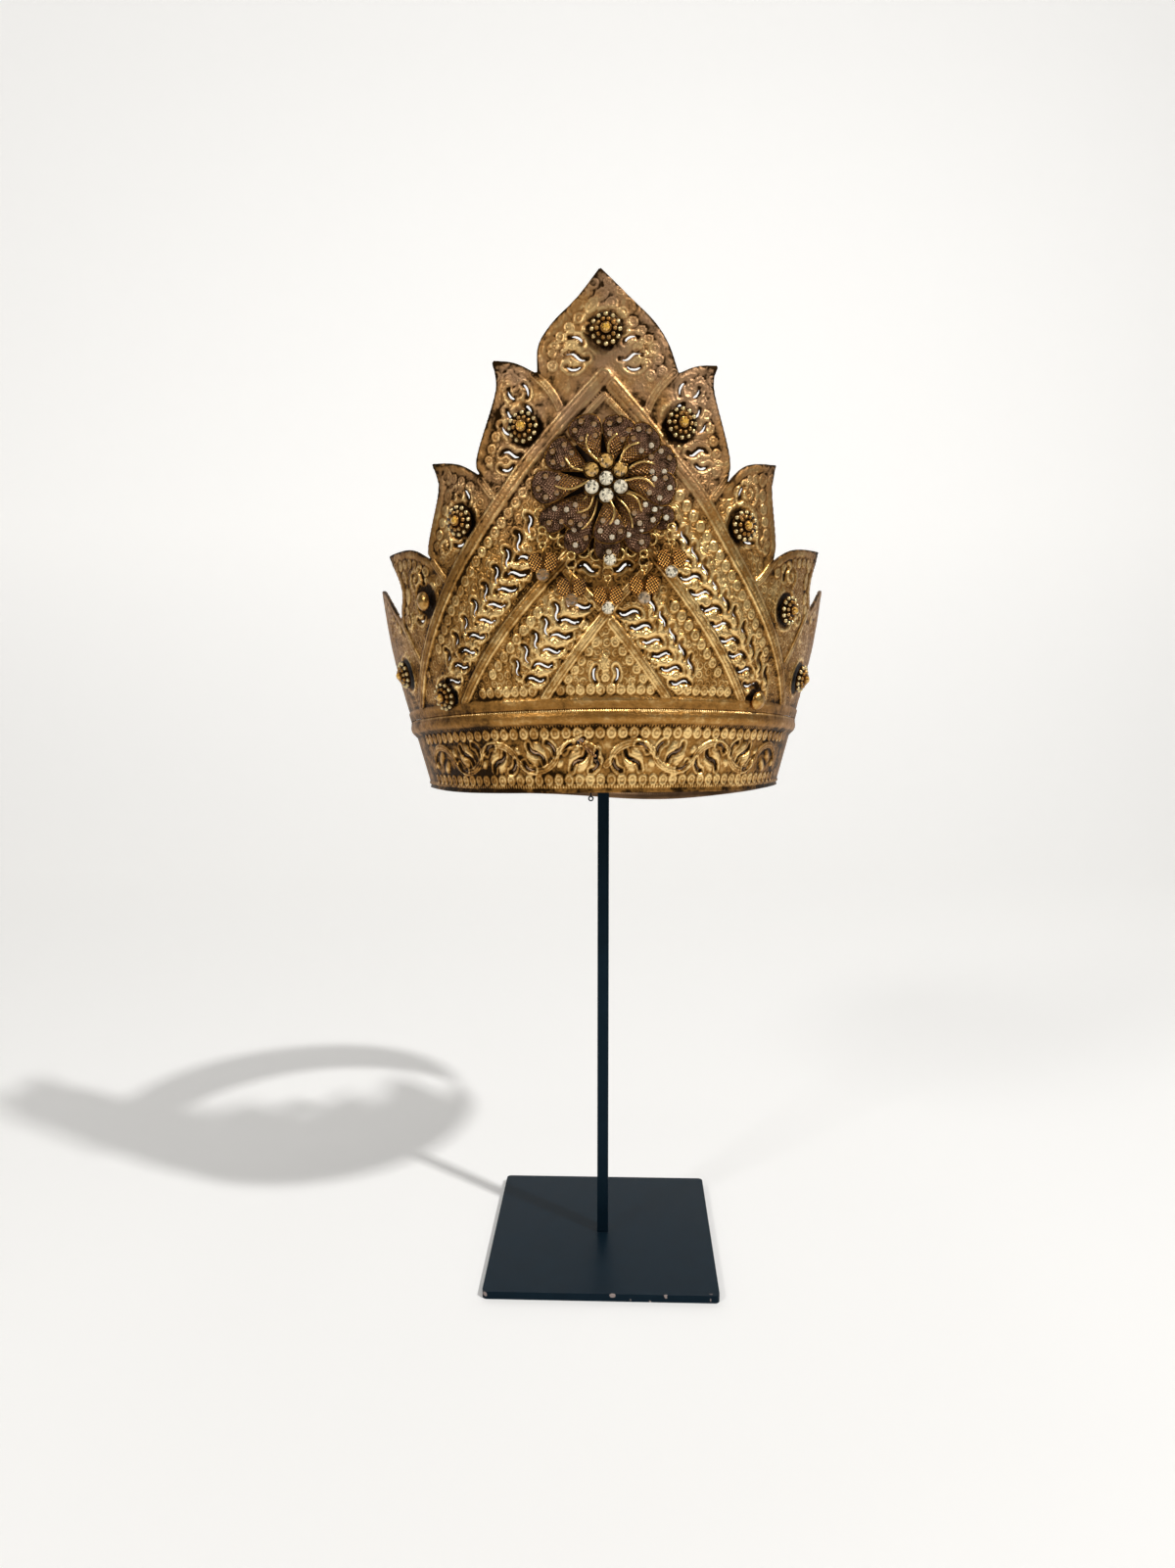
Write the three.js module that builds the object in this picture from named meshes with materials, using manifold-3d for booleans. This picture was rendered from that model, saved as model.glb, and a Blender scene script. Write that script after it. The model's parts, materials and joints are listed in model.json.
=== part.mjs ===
// A ceremonial crown of pierced and raised brass sheet on a plain black stand.
// Millimetres, +Z up, the front of the crown looks along -Y.
// The crown's sheet is described unrolled: u runs round the wall, measured at SHEET_RADIUS from the
// front, and v runs up the slant of the wall from the rim.
import * as THREE from "three";
import { mergeVertices } from "three/addons/utils/BufferGeometryUtils.js";
import loadManifold from "manifold-3d";

const wasm = await loadManifold();
wasm.setup();

const { degToRad, lerp, smoothstep } = THREE.MathUtils;

// Stand
const PLATE_SIDE = 120;
const PLATE_THICK = 4;
const PLATE_CORNER = 2.5;
const ROD_SIDE = 6;
const ARM_HEIGHT = 281;
const HEAD_WIDTH = 32;
const HEAD_HEIGHT = 8;
const HEAD_THICK = 3;
const HEAD_FRONT = -91.3;
const HOOK_WIRE = 0.35;
const HOOK_EYE = 0.95;
const HOOK_X = -4;
const HOOK_Y = -90;
const HOOK_Z = 259.4;

// How the crown sits on its stand
const CROWN_TILT = 7;
const CROWN_ROLL = 0.5;
const CROWN_TURN = 1.9;
const CROWN_PLACE = new THREE.Vector3(0, -4, 251.6);

// Crown wall
const RIM_RADIUS = 88.5;
const SHEET_RADIUS = 120;
const SHEET = 0.9;
const LOW_FLARE = 16;
const HIGH_FLARE = 8.3;
const EASE_START = 45;
const EASE_END = 102;
const BAND_TOP = 38;
const SEAT_GAP = 0.3;
const CREST_BOTTOM = BAND_TOP + SEAT_GAP;
const FOOT_TOP = 40.4;
const CREST_TOP = 222;
const ROUND_SIDES = 36;

// Raised work and slits
const RIDGE_HEIGHT = 1;
const RIDGE_ROOT = -0.4;
const RIDGE_WIDTH = 5;
const SLIT_WIDTH = 1.4;
const SLIT_REACH = 5;
const OUTLINE_REACH = 45;
const NOTCH_LAP = 2.5;

// Running vine of the headband, in half waves of three slits each
const VINE_PITCH = 25;
const VINE_START = 16;
const VINE_HALF_WAVES = 4;
const VINE_MIDDLE = 16.5;

// Studs, flower and pendants
const STUD_SIDES = 10;
const STUD_FOOT = 2.4;
const STONE_SIDES = 10;
const FLOWER_U = 0.5;
const FLOWER_V = 133.3;
const HUB_RADIUS = 8.6;
const HUB_TOP = 7;
const PETAL_ROOT = 5;
const PETAL_THICK = 1.2;
const HEART_STONE_RADIUS = 3.2;
const HEART_RING_RADIUS = 6.8;
const RING_RADIUS = 2.2;
const LOOP_RADIUS = 1.2;
const LINK_WIRE = 0.35;
const LINK_SIDES = 10;
const LINK_WIRE_SIDES = 5;
const HANG_LEVEL = 3.2;
const WING_WIDTH = 6;
const WING_HEIGHT = 7;
const WING_THICK = 1.6;
const WING_SIDES = 8;
const WING_APART = 3.5;
const DROP_STONE_RADIUS = 2.7;

// Tie wire
const TIE_WIRE = 0.9;
const TIE_SIDES = 6;
const TIE_STEPS = 10;
const TIE_HOLES = [
  { u: -14.2, v: 23.6, length: 4, lean: 20, bend: 0, width: 2.6 },
  { u: -5.6, v: 16.6, length: 6, lean: 75, bend: 0, width: 2.4 },
];

// Outlines of the flame leaves from the one beside the apex outwards.
// in is the notch nearer the apex, out the notch further from it.
const LEAVES = [
  { side: -1, inU: 27, inV: 177.5, browU: 36, browV: 182.7, tipU: 46, tipV: 185.2,
    waistU: 45.4, waistV: 172.5, bellyU: 56.8, bellyV: 147, outU: 55.7, outV: 139.5 },
  { side: -1, inU: 55.7, inV: 139.5, browU: 67, browV: 146, tipU: 82, tipV: 149,
    waistU: 79.6, waistV: 137.5, bellyU: 91, bellyV: 114.5, outU: 90.3, outV: 108.5 },
  { side: -1, inU: 90.3, inV: 108.5, browU: 106, browV: 115.3, tipU: 131, tipV: 117,
    waistU: 120.5, waistV: 100, bellyU: 124.5, bellyV: 90, outU: 126.5, outV: 85.5 },
  { side: -1, inU: 126.5, inV: 85.5, browU: 149, browV: 102, tipU: 172, tipV: 107.5,
    waistU: 174, waistV: 82, bellyU: 182, bellyV: 60, outU: 184, outV: CREST_BOTTOM },
  { side: 1, inU: 30.5, inV: 177.5, browU: 38, browV: 181, tipU: 47.6, tipV: 182.6,
    waistU: 46.4, waistV: 172.5, bellyU: 56.2, bellyV: 146, outU: 55.5, outV: 135.5 },
  { side: 1, inU: 55.5, inV: 135.5, browU: 66, browV: 144.3, tipU: 83, tipV: 147.3,
    waistU: 82, waistV: 136, bellyU: 88.2, bellyV: 114, outU: 87, outV: 106 },
  { side: 1, inU: 87, inV: 106, browU: 104, browV: 113.5, tipU: 134, tipV: 117.8,
    waistU: 127.5, waistV: 102, bellyU: 130, bellyV: 94, outU: 133, outV: 90 },
  { side: 1, inU: 133, inV: 90, browU: 152, browV: 101.5, tipU: 172, tipV: 105.5,
    waistU: 174, waistV: 82, bellyU: 182, bellyV: 60, outU: 184, outV: CREST_BOTTOM },
];
const APEX = { tipU: -1.2, tipV: 217.5, slopeU: 10, slopeV: 206.3, shoulderU: 20, shoulderV: 197,
  cheekU: 26, cheekV: 188.5, baseV: 177.5 };

// Nested triangles whose legs are raised ridges
const TRIANGLES = [
  { apexV: 177, slope: 1.06, endU: 115 },
  { apexV: 121, slope: 0.97, endU: 81 },
  { apexV: 78.5, slope: 1.11, endU: 33.5 },
];

// Rows of slits down the vines between the triangles
const ACROSS_SLIT = { length: 10.5, lean: -5, bend: 0.75 };
const UP_SLIT = { length: 7.5, bend: 0.8 };
const VINE_ROWS = [
  { ...ACROSS_SLIT, side: -1, u: 35.5, v: 103.2, stepU: 5.6, growU: 0.12, stepV: -6.25, count: 9 },
  { ...ACROSS_SLIT, side: 1, u: 35, v: 101, stepU: 5.3, growU: 0.12, stepV: -6.37, count: 9 },
  { ...ACROSS_SLIT, side: -1, u: 12, v: 82, stepU: 4.9, growU: 0, stepV: -6.15, count: 6 },
  { ...ACROSS_SLIT, side: 1, u: 11.3, v: 79, stepU: 5.55, growU: 0, stepV: -5.93, count: 6 },
  { ...UP_SLIT, lean: 77, side: -1, u: 33.7, v: 117, stepU: 5.6, growU: 0.15, stepV: -6.65, count: 9 },
  { ...UP_SLIT, lean: -80, side: 1, u: 31, v: 117, stepU: 5.2, growU: 0.125, stepV: -6.25, count: 11 },
  { ...UP_SLIT, lean: 72, side: -1, u: 17.4, v: 85.5, stepU: 5.65, growU: 0, stepV: -5.75, count: 6 },
  { ...UP_SLIT, lean: -82, side: 1, u: 21.8, v: 83, stepU: 5.5, growU: 0, stepV: -6.4, count: 5 },
];

// Slits of the leaves and of the small triangle, the same on both sides
const LEAF_SLITS = [
  { u: 10.8, v: 189.4, length: 6, lean: 25, bend: 1.3, curl: "bow" },
  { u: 10.8, v: 183.1, length: 9, lean: 10, bend: 1.1, curl: "wave" },
  { u: 12, v: 179.4, length: 6, lean: 0, bend: -1.4, curl: "bow" },
  { u: 32.6, v: 171.5, length: 6, lean: 72, bend: 1, curl: "bow" },
  { u: 38.4, v: 170.5, length: 5, lean: 55, bend: -1, curl: "bow" },
  { u: 32, v: 164, length: 4.5, lean: 52, bend: 0.8, curl: "bow" },
  { u: 39.4, v: 162.6, length: 5, lean: 62, bend: -0.8, curl: "bow" },
  { u: 42, v: 156.5, length: 5, lean: 55, bend: -0.8, curl: "bow" },
  { u: 40.2, v: 146.5, length: 9, lean: 6, bend: 1.1, curl: "wave" },
  { u: 42.8, v: 141.6, length: 6, lean: 0, bend: -1.5, curl: "bow" },
  { u: 64.2, v: 132.3, length: 6, lean: 72, bend: 1, curl: "bow" },
  { u: 70.5, v: 113, length: 6, lean: -5, bend: -1.2, curl: "bow" },
  { u: 99.2, v: 102.3, length: 6, lean: 68, bend: 1, curl: "bow" },
  { u: 105, v: 83.5, length: 6, lean: 0, bend: -1.2, curl: "bow" },
  { u: 5, v: 52.9, length: 6.5, lean: 90, bend: -1.3, curl: "bow" },
  { u: 7.8, v: 98, length: 8, lean: 12, bend: 1, curl: "wave" },
];

// Slits of one half wave of the headband's vine, about the half wave's middle
const HALF_WAVE_SLITS = [
  { along: -9.5, up: -4, length: 7, lean: -48, bend: -1.2, curl: "bow" },
  { along: -0.5, up: -1.8, length: 12, lean: -42, bend: 1.2, curl: "wave" },
  { along: 4.5, up: 4.2, length: 7, lean: -25, bend: 1.2, curl: "bow" },
];

const STUDS = [
  { name: "stud_apex", u: 0.8, v: 193, beaded: true },
  { name: "stud_leaf_1_left", u: -33.5, v: 156.5, beaded: true },
  { name: "stud_leaf_1_right", u: 32, v: 157.3, beaded: true },
  { name: "stud_leaf_2_left", u: -68, v: 122, beaded: true },
  { name: "stud_leaf_2_right", u: 65.5, v: 118.5, beaded: true },
  { name: "stud_leaf_3_left", u: -98, v: 91, beaded: false },
  { name: "stud_leaf_3_right", u: 103, v: 86, beaded: true },
  { name: "stud_leaf_4_left", u: -135, v: 60.5, beaded: true },
  { name: "stud_leaf_4_right", u: 135, v: 57, beaded: true },
  { name: "stud_corner_left", u: -95, v: 47, beaded: true },
  { name: "stud_corner_right", u: 91, v: 43.5, beaded: false },
];

// Petals of the flower, by the angle from the viewer's right
const UPPER_PETALS = [
  { angle: 75, reach: 26 }, { angle: 113, reach: 27 }, { angle: 152, reach: 27 }, { angle: 187, reach: 31 },
  { angle: 228, reach: 25 }, { angle: 274, reach: 26 }, { angle: 318, reach: 28 }, { angle: 350, reach: 29 },
  { angle: 16, reach: 30 }, { angle: 45, reach: 28 },
];
const UPPER_PETAL_WIDTH = 11;
const LOWER_PETAL_ANGLES = [215, 243, 271, 299, 327];
const LOWER_PETAL_REACH = 33;
const LOWER_PETAL_WIDTH = 9;
const LOWER_PETAL_LEVEL = 2.6;
const UPPER_PETAL_LEVEL = 4.1;
const PETAL_STAGGER = 1.5;
const EYE_INSET = 0.5;
const EYE_NECK = 2.4;
const DROP_BELOW_RING = 10;
const DROP_STONE_BELOW = 5;

const FINISHES = {
  brass: { color: 0x9c7438, roughness: 0.42, metalness: 1 },
  darkBrass: { color: 0x5a3f22, roughness: 0.5, metalness: 1 },
  gold: { color: 0xc9a04c, roughness: 0.3, metalness: 1 },
  clearStone: { color: 0xdcd6c4, roughness: 0.08, metalness: 0 },
  amberStone: { color: 0xb98a3c, roughness: 0.1, metalness: 0 },
  blackPaint: { color: 0x1c242a, roughness: 0.35, metalness: 0 },
  copperWire: { color: 0xa8672f, roughness: 0.4, metalness: 1 },
};

// Solids from closed geometries and back

function solidOf(geometry) {
  const bare = geometry.clone();
  bare.deleteAttribute("normal");
  bare.deleteAttribute("uv");
  const welded = mergeVertices(bare, 1e-4);
  const corners = welded.index.array;
  const kept = [];
  for (let i = 0; i < corners.length; i += 3) {
    const [a, b, c] = [corners[i], corners[i + 1], corners[i + 2]];
    if (a !== b && b !== c && c !== a) {
      kept.push(a, b, c);
    }
  }
  return new wasm.Manifold(new wasm.Mesh({
    numProp: 3,
    vertProperties: new Float32Array(welded.attributes.position.array),
    triVerts: new Uint32Array(kept),
  }));
}

function geometryOf(solid) {
  const mesh = solid.getMesh();
  const geometry = new THREE.BufferGeometry();
  geometry.setAttribute("position", new THREE.BufferAttribute(mesh.vertProperties, 3));
  geometry.setIndex(new THREE.BufferAttribute(mesh.triVerts, 1));
  geometry.computeVertexNormals();
  return geometry;
}

function fuse(geometries) {
  const solids = geometries.map(solidOf);
  return solids.reduce((whole, solid) => whole.add(solid));
}

function piece(name, geometry, finish) {
  const mesh = new THREE.Mesh(geometry, new THREE.MeshStandardMaterial(FINISHES[finish]));
  mesh.name = name;
  return mesh;
}

// The wall of the crown

function flareAt(v) {
  return degToRad(lerp(LOW_FLARE, HIGH_FLARE, smoothstep(v, EASE_START, EASE_END)));
}

// Radius and height of the wall at slant v, moved out along the wall's normal
function wallProfile(v, out) {
  const steps = Math.max(1, Math.ceil(Math.abs(v)));
  const step = v / steps;
  let radius = RIM_RADIUS;
  let rise = 0;
  for (let i = 0; i < steps; i += 1) {
    const flare = flareAt((i + 0.5) * step);
    radius += step * Math.sin(flare);
    rise += step * Math.cos(flare);
  }
  const flare = flareAt(v);
  return new THREE.Vector2(radius + out * Math.cos(flare), rise - out * Math.sin(flare));
}

function wallPoint(u, v, out = 0) {
  const angle = u / SHEET_RADIUS;
  const at = wallProfile(v, out);
  return new THREE.Vector3(at.x * Math.sin(angle), -at.x * Math.cos(angle), at.y);
}

// Axes on the wall: x round it, y up its slant, z out of it
function wallFrame(u, v, out) {
  const angle = u / SHEET_RADIUS;
  const flare = flareAt(v);
  const round = new THREE.Vector3(Math.cos(angle), Math.sin(angle), 0);
  const outward = new THREE.Vector3(Math.sin(angle), -Math.cos(angle), 0);
  const up = outward.clone().multiplyScalar(Math.sin(flare));
  up.z = Math.cos(flare);
  const normal = new THREE.Vector3().crossVectors(round, up);
  return new THREE.Matrix4().makeBasis(round, up, normal).setPosition(wallPoint(u, v, out));
}

// A full ring of wall, given as rows of slant and outer offset and the slants of its inner face
function wallRing(rows, innerLevels, innerOut) {
  const outer = rows.map((row) => wallProfile(row.v, row.out));
  const inner = innerLevels.map((v) => wallProfile(v, innerOut)).reverse();
  const profile = [...outer, ...inner, outer[0].clone()];
  return solidOf(new THREE.LatheGeometry(profile, ROUND_SIDES).rotateX(Math.PI / 2));
}

// A prism through the wall, along the radius at middleU, over an outline of wall places
function wallPrism(outline, middleU, reach) {
  const angle = middleU / SHEET_RADIUS;
  const round = new THREE.Vector3(Math.cos(angle), Math.sin(angle), 0);
  const up = new THREE.Vector3(0, 0, 1);
  const outward = new THREE.Vector3(Math.sin(angle), -Math.cos(angle), 0);
  const places = outline.map((place) => wallPoint(place.u, place.v));
  const depth = places.reduce((sum, place) => sum + place.dot(outward), 0) / places.length;
  const shape = new THREE.Shape(places.map((place) => new THREE.Vector2(place.dot(round), place.z)));
  const prism = new THREE.ExtrudeGeometry(shape, { depth: 2 * reach, bevelEnabled: false });
  const start = outward.clone().multiplyScalar(depth - reach);
  return solidOf(prism.applyMatrix4(new THREE.Matrix4().makeBasis(round, up, outward).setPosition(start)));
}

// Outline of a slit: a bow or a wave along its lean, pointed at both ends
function slitOutline({ u, v, length, lean, bend, curl, width = SLIT_WIDTH, side = 1 }) {
  const turn = degToRad(lean);
  const place = (t, half) => {
    const along = (t * length) / 2;
    const across = bend * (curl === "bow" ? 1 - t * t : Math.sin(Math.PI * t)) + half;
    return {
      u: side * (u + along * Math.cos(turn) - across * Math.sin(turn)),
      v: v + along * Math.sin(turn) + across * Math.cos(turn),
    };
  };
  const shoulder = 0.45;
  return [
    place(-1, 0), place(-shoulder, width / 2), place(shoulder, width / 2),
    place(1, 0), place(shoulder, -width / 2), place(-shoulder, -width / 2),
  ];
}

function cutSlits(wall, slits) {
  return slits.reduce((cut, slit) => {
    const side = slit.side ?? 1;
    return cut.subtract(wallPrism(slitOutline(slit), side * slit.u, SLIT_REACH));
  }, wall);
}

function bothSides(rows) {
  return rows.flatMap((row) => [{ ...row, side: -1 }, { ...row, side: 1 }]);
}

// Headband

function bandSlits() {
  const slits = [];
  for (let wave = 0; wave < VINE_HALF_WAVES; wave += 1) {
    const flip = wave % 2 === 0 ? 1 : -1;
    for (const row of HALF_WAVE_SLITS) {
      slits.push({
        ...row,
        u: VINE_START + wave * VINE_PITCH + row.along,
        v: VINE_MIDDLE + flip * row.up,
        lean: flip * row.lean,
        bend: flip * row.bend,
      });
    }
  }
  return bothSides(slits);
}

function headband() {
  const rows = [
    { v: 0, out: 0.5 },
    { v: 2, out: 0.5 },
    { v: 2.6, out: 0 },
    { v: 30.4, out: 0 },
    { v: 31.6, out: 1 },
    { v: 34.4, out: 1.9 },
    { v: 37, out: 1.1 },
    { v: BAND_TOP, out: 1.1 },
  ];
  const ring = wallRing(rows, [0, BAND_TOP], -SHEET);
  return geometryOf(cutSlits(ring, [...bandSlits(), ...TIE_HOLES]));
}

// Crest

function splineOf(points, divisions) {
  const curve = new THREE.SplineCurve(points.map((point) => new THREE.Vector2(point.u, point.v)));
  return curve.getPoints(divisions).map((point) => ({ u: point.x, v: point.y }));
}

// One leaf and the column of wall below it
function leafColumn(leaf) {
  const place = (key) => ({ u: leaf.side * leaf[`${key}U`], v: leaf[`${key}V`] });
  const brow = splineOf([place("in"), place("brow"), place("tip")], 4);
  const flank = splineOf([place("tip"), place("waist"), place("belly"), place("out")], 9);
  const foot = CREST_BOTTOM - 2;
  const innerU = leaf.side * (leaf.inU - NOTCH_LAP);
  const outerU = leaf.side * (leaf.outU + NOTCH_LAP);
  const column = [
    ...brow,
    ...flank.slice(1),
    { u: outerU, v: Math.max(leaf.outV - 2 * NOTCH_LAP, CREST_BOTTOM) },
    { u: outerU, v: foot },
    { u: innerU, v: foot },
    { u: innerU, v: leaf.inV - 2 * NOTCH_LAP },
  ];
  return wallPrism(column, (innerU + outerU) / 2, OUTLINE_REACH);
}

function apexColumn() {
  const [left, right] = [LEAVES[0], LEAVES[4]];
  const flank = (side, baseU) => splineOf([
    { u: APEX.tipU, v: APEX.tipV },
    { u: side * APEX.slopeU, v: APEX.slopeV },
    { u: side * APEX.shoulderU, v: APEX.shoulderV },
    { u: side * APEX.cheekU, v: APEX.cheekV },
    { u: side * baseU, v: APEX.baseV },
  ], 8);
  const foot = CREST_BOTTOM - 2;
  const column = [
    ...flank(-1, left.inU).reverse(),
    ...flank(1, right.inU).slice(1),
    { u: right.inU + NOTCH_LAP, v: APEX.baseV - 2 * NOTCH_LAP },
    { u: right.inU + NOTCH_LAP, v: foot },
    { u: -left.inU - NOTCH_LAP, v: foot },
    { u: -left.inU - NOTCH_LAP, v: APEX.baseV - 2 * NOTCH_LAP },
  ];
  return wallPrism(column, 0, OUTLINE_REACH);
}

// One leg of a triangle: a strip along a line that falls away from the apex
function ridgeStrip({ apexV, slope, endU }, side) {
  const steps = 4;
  const half = (RIDGE_WIDTH / 2) * Math.hypot(1, slope);
  const line = Array.from({ length: steps + 1 }, (_, i) => (i / steps) * endU);
  const edge = (offset) => line.map((u) => ({ u: side * u, v: apexV - slope * u + offset }));
  return wallPrism([...edge(half), ...edge(-half).reverse()], (side * endU) / 2, OUTLINE_REACH);
}

function crest() {
  const levels = [62, 82, 102, CREST_TOP];
  const smooth = levels.map((v) => ({ v, out: 0 }));
  const foot = [{ v: CREST_BOTTOM, out: 1.1 }, { v: 39.8, out: 1.1 }, { v: FOOT_TOP, out: 0 }];
  const outline = LEAVES.map(leafColumn).reduce((whole, column) => whole.add(column), apexColumn());
  const sheet = wallRing([...foot, ...smooth], [CREST_BOTTOM, ...levels], -SHEET).intersect(outline);
  const ridgeLevels = [FOOT_TOP, ...levels];
  const raised = wallRing(ridgeLevels.map((v) => ({ v, out: RIDGE_HEIGHT })), ridgeLevels, RIDGE_ROOT);
  const strips = TRIANGLES.flatMap((row) => [ridgeStrip(row, -1), ridgeStrip(row, 1)]);
  const ridges = raised.intersect(strips.reduce((whole, strip) => whole.add(strip))).intersect(outline);
  const vineSlits = VINE_ROWS.flatMap((row) => Array.from({ length: row.count }, (_, i) => ({
    ...row,
    u: row.u + i * row.stepU + i * i * row.growU,
    v: row.v + i * row.stepV,
    curl: "wave",
  })));
  return geometryOf(cutSlits(sheet.add(ridges), [...vineSlits, ...bothSides(LEAF_SLITS)]));
}

// Turned pieces stand on the wall with their axis out of it

function turned(profile, sides) {
  const points = profile.map(([radius, level]) => new THREE.Vector2(radius, level));
  return new THREE.LatheGeometry(points, sides).rotateX(Math.PI / 2);
}

// A stud on a short foot: a dome with a collet and a cut stone, or a bare dome
function stud({ name, u, v, beaded }) {
  const dome = beaded
    ? [[7, 1.4], [6.6, 2.6], [3.2, 4.4], [2.7, 6], [1.5, 6.8], [0, 6.8]]
    : [[5.6, 1.4], [5.4, 2.6], [4, 4.2], [2, 5.2], [0, 5.5]];
  const foot = [[0, SEAT_GAP], [STUD_FOOT, SEAT_GAP], [STUD_FOOT, 1.4]];
  const solid = solidOf(turned([...foot, ...dome], STUD_SIDES));
  const mesh = piece(name, geometryOf(solid), beaded ? "darkBrass" : "gold");
  mesh.applyMatrix4(wallFrame(u, v, 0));
  return mesh;
}

// A cut stone in its collet, with a table and one facet on each side
function stoneInCollet(radius, foot) {
  return turned([
    [0, foot],
    [radius, foot],
    [radius, foot + radius * 0.6],
    [radius * 0.55, foot + radius * 1.15],
    [0, foot + radius * 1.15],
  ], STONE_SIDES);
}

// Flower, in axes with z out of the wall

function petal(root, reach, width, level, angle) {
  const length = reach - root;
  const half = width / 2;
  const shape = new THREE.Shape();
  shape.moveTo(root, 0);
  shape.bezierCurveTo(root + length * 0.2, half * 0.8, root + length * 0.9, half * 2, reach, 0);
  shape.bezierCurveTo(root + length * 0.9, -half * 2, root + length * 0.2, -half * 0.8, root, 0);
  const form = { depth: PETAL_THICK, bevelEnabled: false, curveSegments: 4 };
  const blade = new THREE.ExtrudeGeometry(shape, form);
  return blade.translate(0, 0, level).rotateZ(degToRad(angle));
}

function link(radius) {
  return new THREE.TorusGeometry(radius, LINK_WIRE, LINK_WIRE_SIDES, LINK_SIDES);
}

// Where the eye and the ring of a pendant hang, below the end of its lower petal
function ringPlace(angle) {
  const turn = degToRad(angle);
  const reach = LOWER_PETAL_REACH - EYE_INSET;
  const eye = new THREE.Vector3(reach * Math.cos(turn), reach * Math.sin(turn) - EYE_NECK, HANG_LEVEL);
  const ring = eye.clone();
  ring.y -= RING_RADIUS + LOOP_RADIUS - 2 * LINK_WIRE - SEAT_GAP;
  return { eye, ring };
}

function flower() {
  const hub = turned([
    [0, SEAT_GAP], [4, SEAT_GAP], [4, 1.8], [HUB_RADIUS, 2.2], [HUB_RADIUS, HUB_TOP], [0, HUB_TOP],
  ], STUD_SIDES);
  const upper = UPPER_PETALS.map(({ angle, reach }, i) => petal(
    PETAL_ROOT, reach, UPPER_PETAL_WIDTH, UPPER_PETAL_LEVEL + (i % 2) * PETAL_STAGGER, angle));
  const lower = LOWER_PETAL_ANGLES.map((angle) => petal(
    PETAL_ROOT, LOWER_PETAL_REACH, LOWER_PETAL_WIDTH, LOWER_PETAL_LEVEL, angle));
  const eyes = LOWER_PETAL_ANGLES.flatMap((angle) => {
    const { eye } = ringPlace(angle);
    const neckY = eye.y + (EYE_NECK + LOOP_RADIUS) / 2;
    const neck = new THREE.BoxGeometry(1, EYE_NECK - LOOP_RADIUS + 0.4, 1).translate(eye.x, neckY, eye.z);
    return [link(LOOP_RADIUS).rotateY(Math.PI / 2).translate(eye.x, eye.y, eye.z), neck];
  });
  return geometryOf(fuse([hub, ...upper, ...lower, ...eyes]));
}

function heartStones() {
  const foot = HUB_TOP + SEAT_GAP;
  const places = [{ x: 0, y: 0 }];
  for (let i = 0; i < 6; i += 1) {
    const angle = degToRad(30 + 60 * i);
    places.push({ x: HEART_RING_RADIUS * Math.cos(angle), y: HEART_RING_RADIUS * Math.sin(angle) });
  }
  return places.map(({ x, y }, i) => {
    const finish = i > 0 && y > 0 ? "amberStone" : "clearStone";
    const stone = piece(`stone_${i}`, geometryOf(solidOf(stoneInCollet(HEART_STONE_RADIUS, foot))), finish);
    stone.position.set(x, y, 0);
    return stone;
  });
}

function jumpRing(angle, number) {
  const ring = piece(`jump_ring_${number}`, geometryOf(solidOf(link(RING_RADIUS))), "gold");
  ring.position.copy(ringPlace(angle).ring);
  return ring;
}

// A drop of two wings and a stone on a stem with a loop, about the middle of its wings
function pendant(angle, number) {
  const { ring } = ringPlace(angle);
  const loopY = DROP_BELOW_RING - RING_RADIUS - LOOP_RADIUS + 2 * LINK_WIRE + SEAT_GAP;
  const loop = link(LOOP_RADIUS).rotateY(Math.PI / 2).translate(0, loopY, 0);
  const wing = (side) => new THREE.CylinderGeometry(1, 1, WING_THICK, WING_SIDES).rotateX(Math.PI / 2)
    .scale(WING_WIDTH / 2, WING_HEIGHT / 2, 1).translate(side * WING_APART, 0, 0);
  const stemFoot = -DROP_STONE_BELOW;
  const stemTop = loopY - LOOP_RADIUS + LINK_WIRE / 2;
  const stem = new THREE.BoxGeometry(1.4, stemTop - stemFoot, 1.2).translate(0, (stemTop + stemFoot) / 2, 0);
  const stone = stoneInCollet(DROP_STONE_RADIUS, -1).translate(0, -DROP_STONE_BELOW, 0);
  const mesh = piece(`pendant_${number}`, geometryOf(fuse([stem, wing(-1), wing(1), loop, stone])), "brass");
  mesh.position.set(ring.x, ring.y - DROP_BELOW_RING, ring.z);
  return mesh;
}

// Tie wire over the front of the headband, with its ends through two holes

function tieWire() {
  const [start, end] = TIE_HOLES;
  const over = TIE_WIRE / 2 + SEAT_GAP;
  const inside = -SHEET - 2.2;
  const midU = (start.u + end.u) / 2;
  const midV = (start.v + end.v) / 2;
  const path = new THREE.CatmullRomCurve3([
    wallPoint(start.u, start.v, inside),
    wallPoint(start.u, start.v, 0),
    wallPoint(start.u + 0.8, start.v - 0.6, over + 0.5),
    wallPoint(midU, midV, over + 0.4),
    wallPoint(end.u - 0.8, end.v + 0.6, over + 0.5),
    wallPoint(end.u, end.v, 0),
    wallPoint(end.u, end.v, inside),
  ], false, "centripetal");
  const section = new THREE.Shape(Array.from({ length: TIE_SIDES }, (_, i) => {
    const angle = (i / TIE_SIDES) * 2 * Math.PI;
    return new THREE.Vector2((TIE_WIRE / 2) * Math.cos(angle), (TIE_WIRE / 2) * Math.sin(angle));
  }));
  const form = { steps: TIE_STEPS, extrudePath: path, bevelEnabled: false };
  const wire = new THREE.ExtrudeGeometry(section, form);
  return geometryOf(solidOf(wire));
}

// Stand

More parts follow.
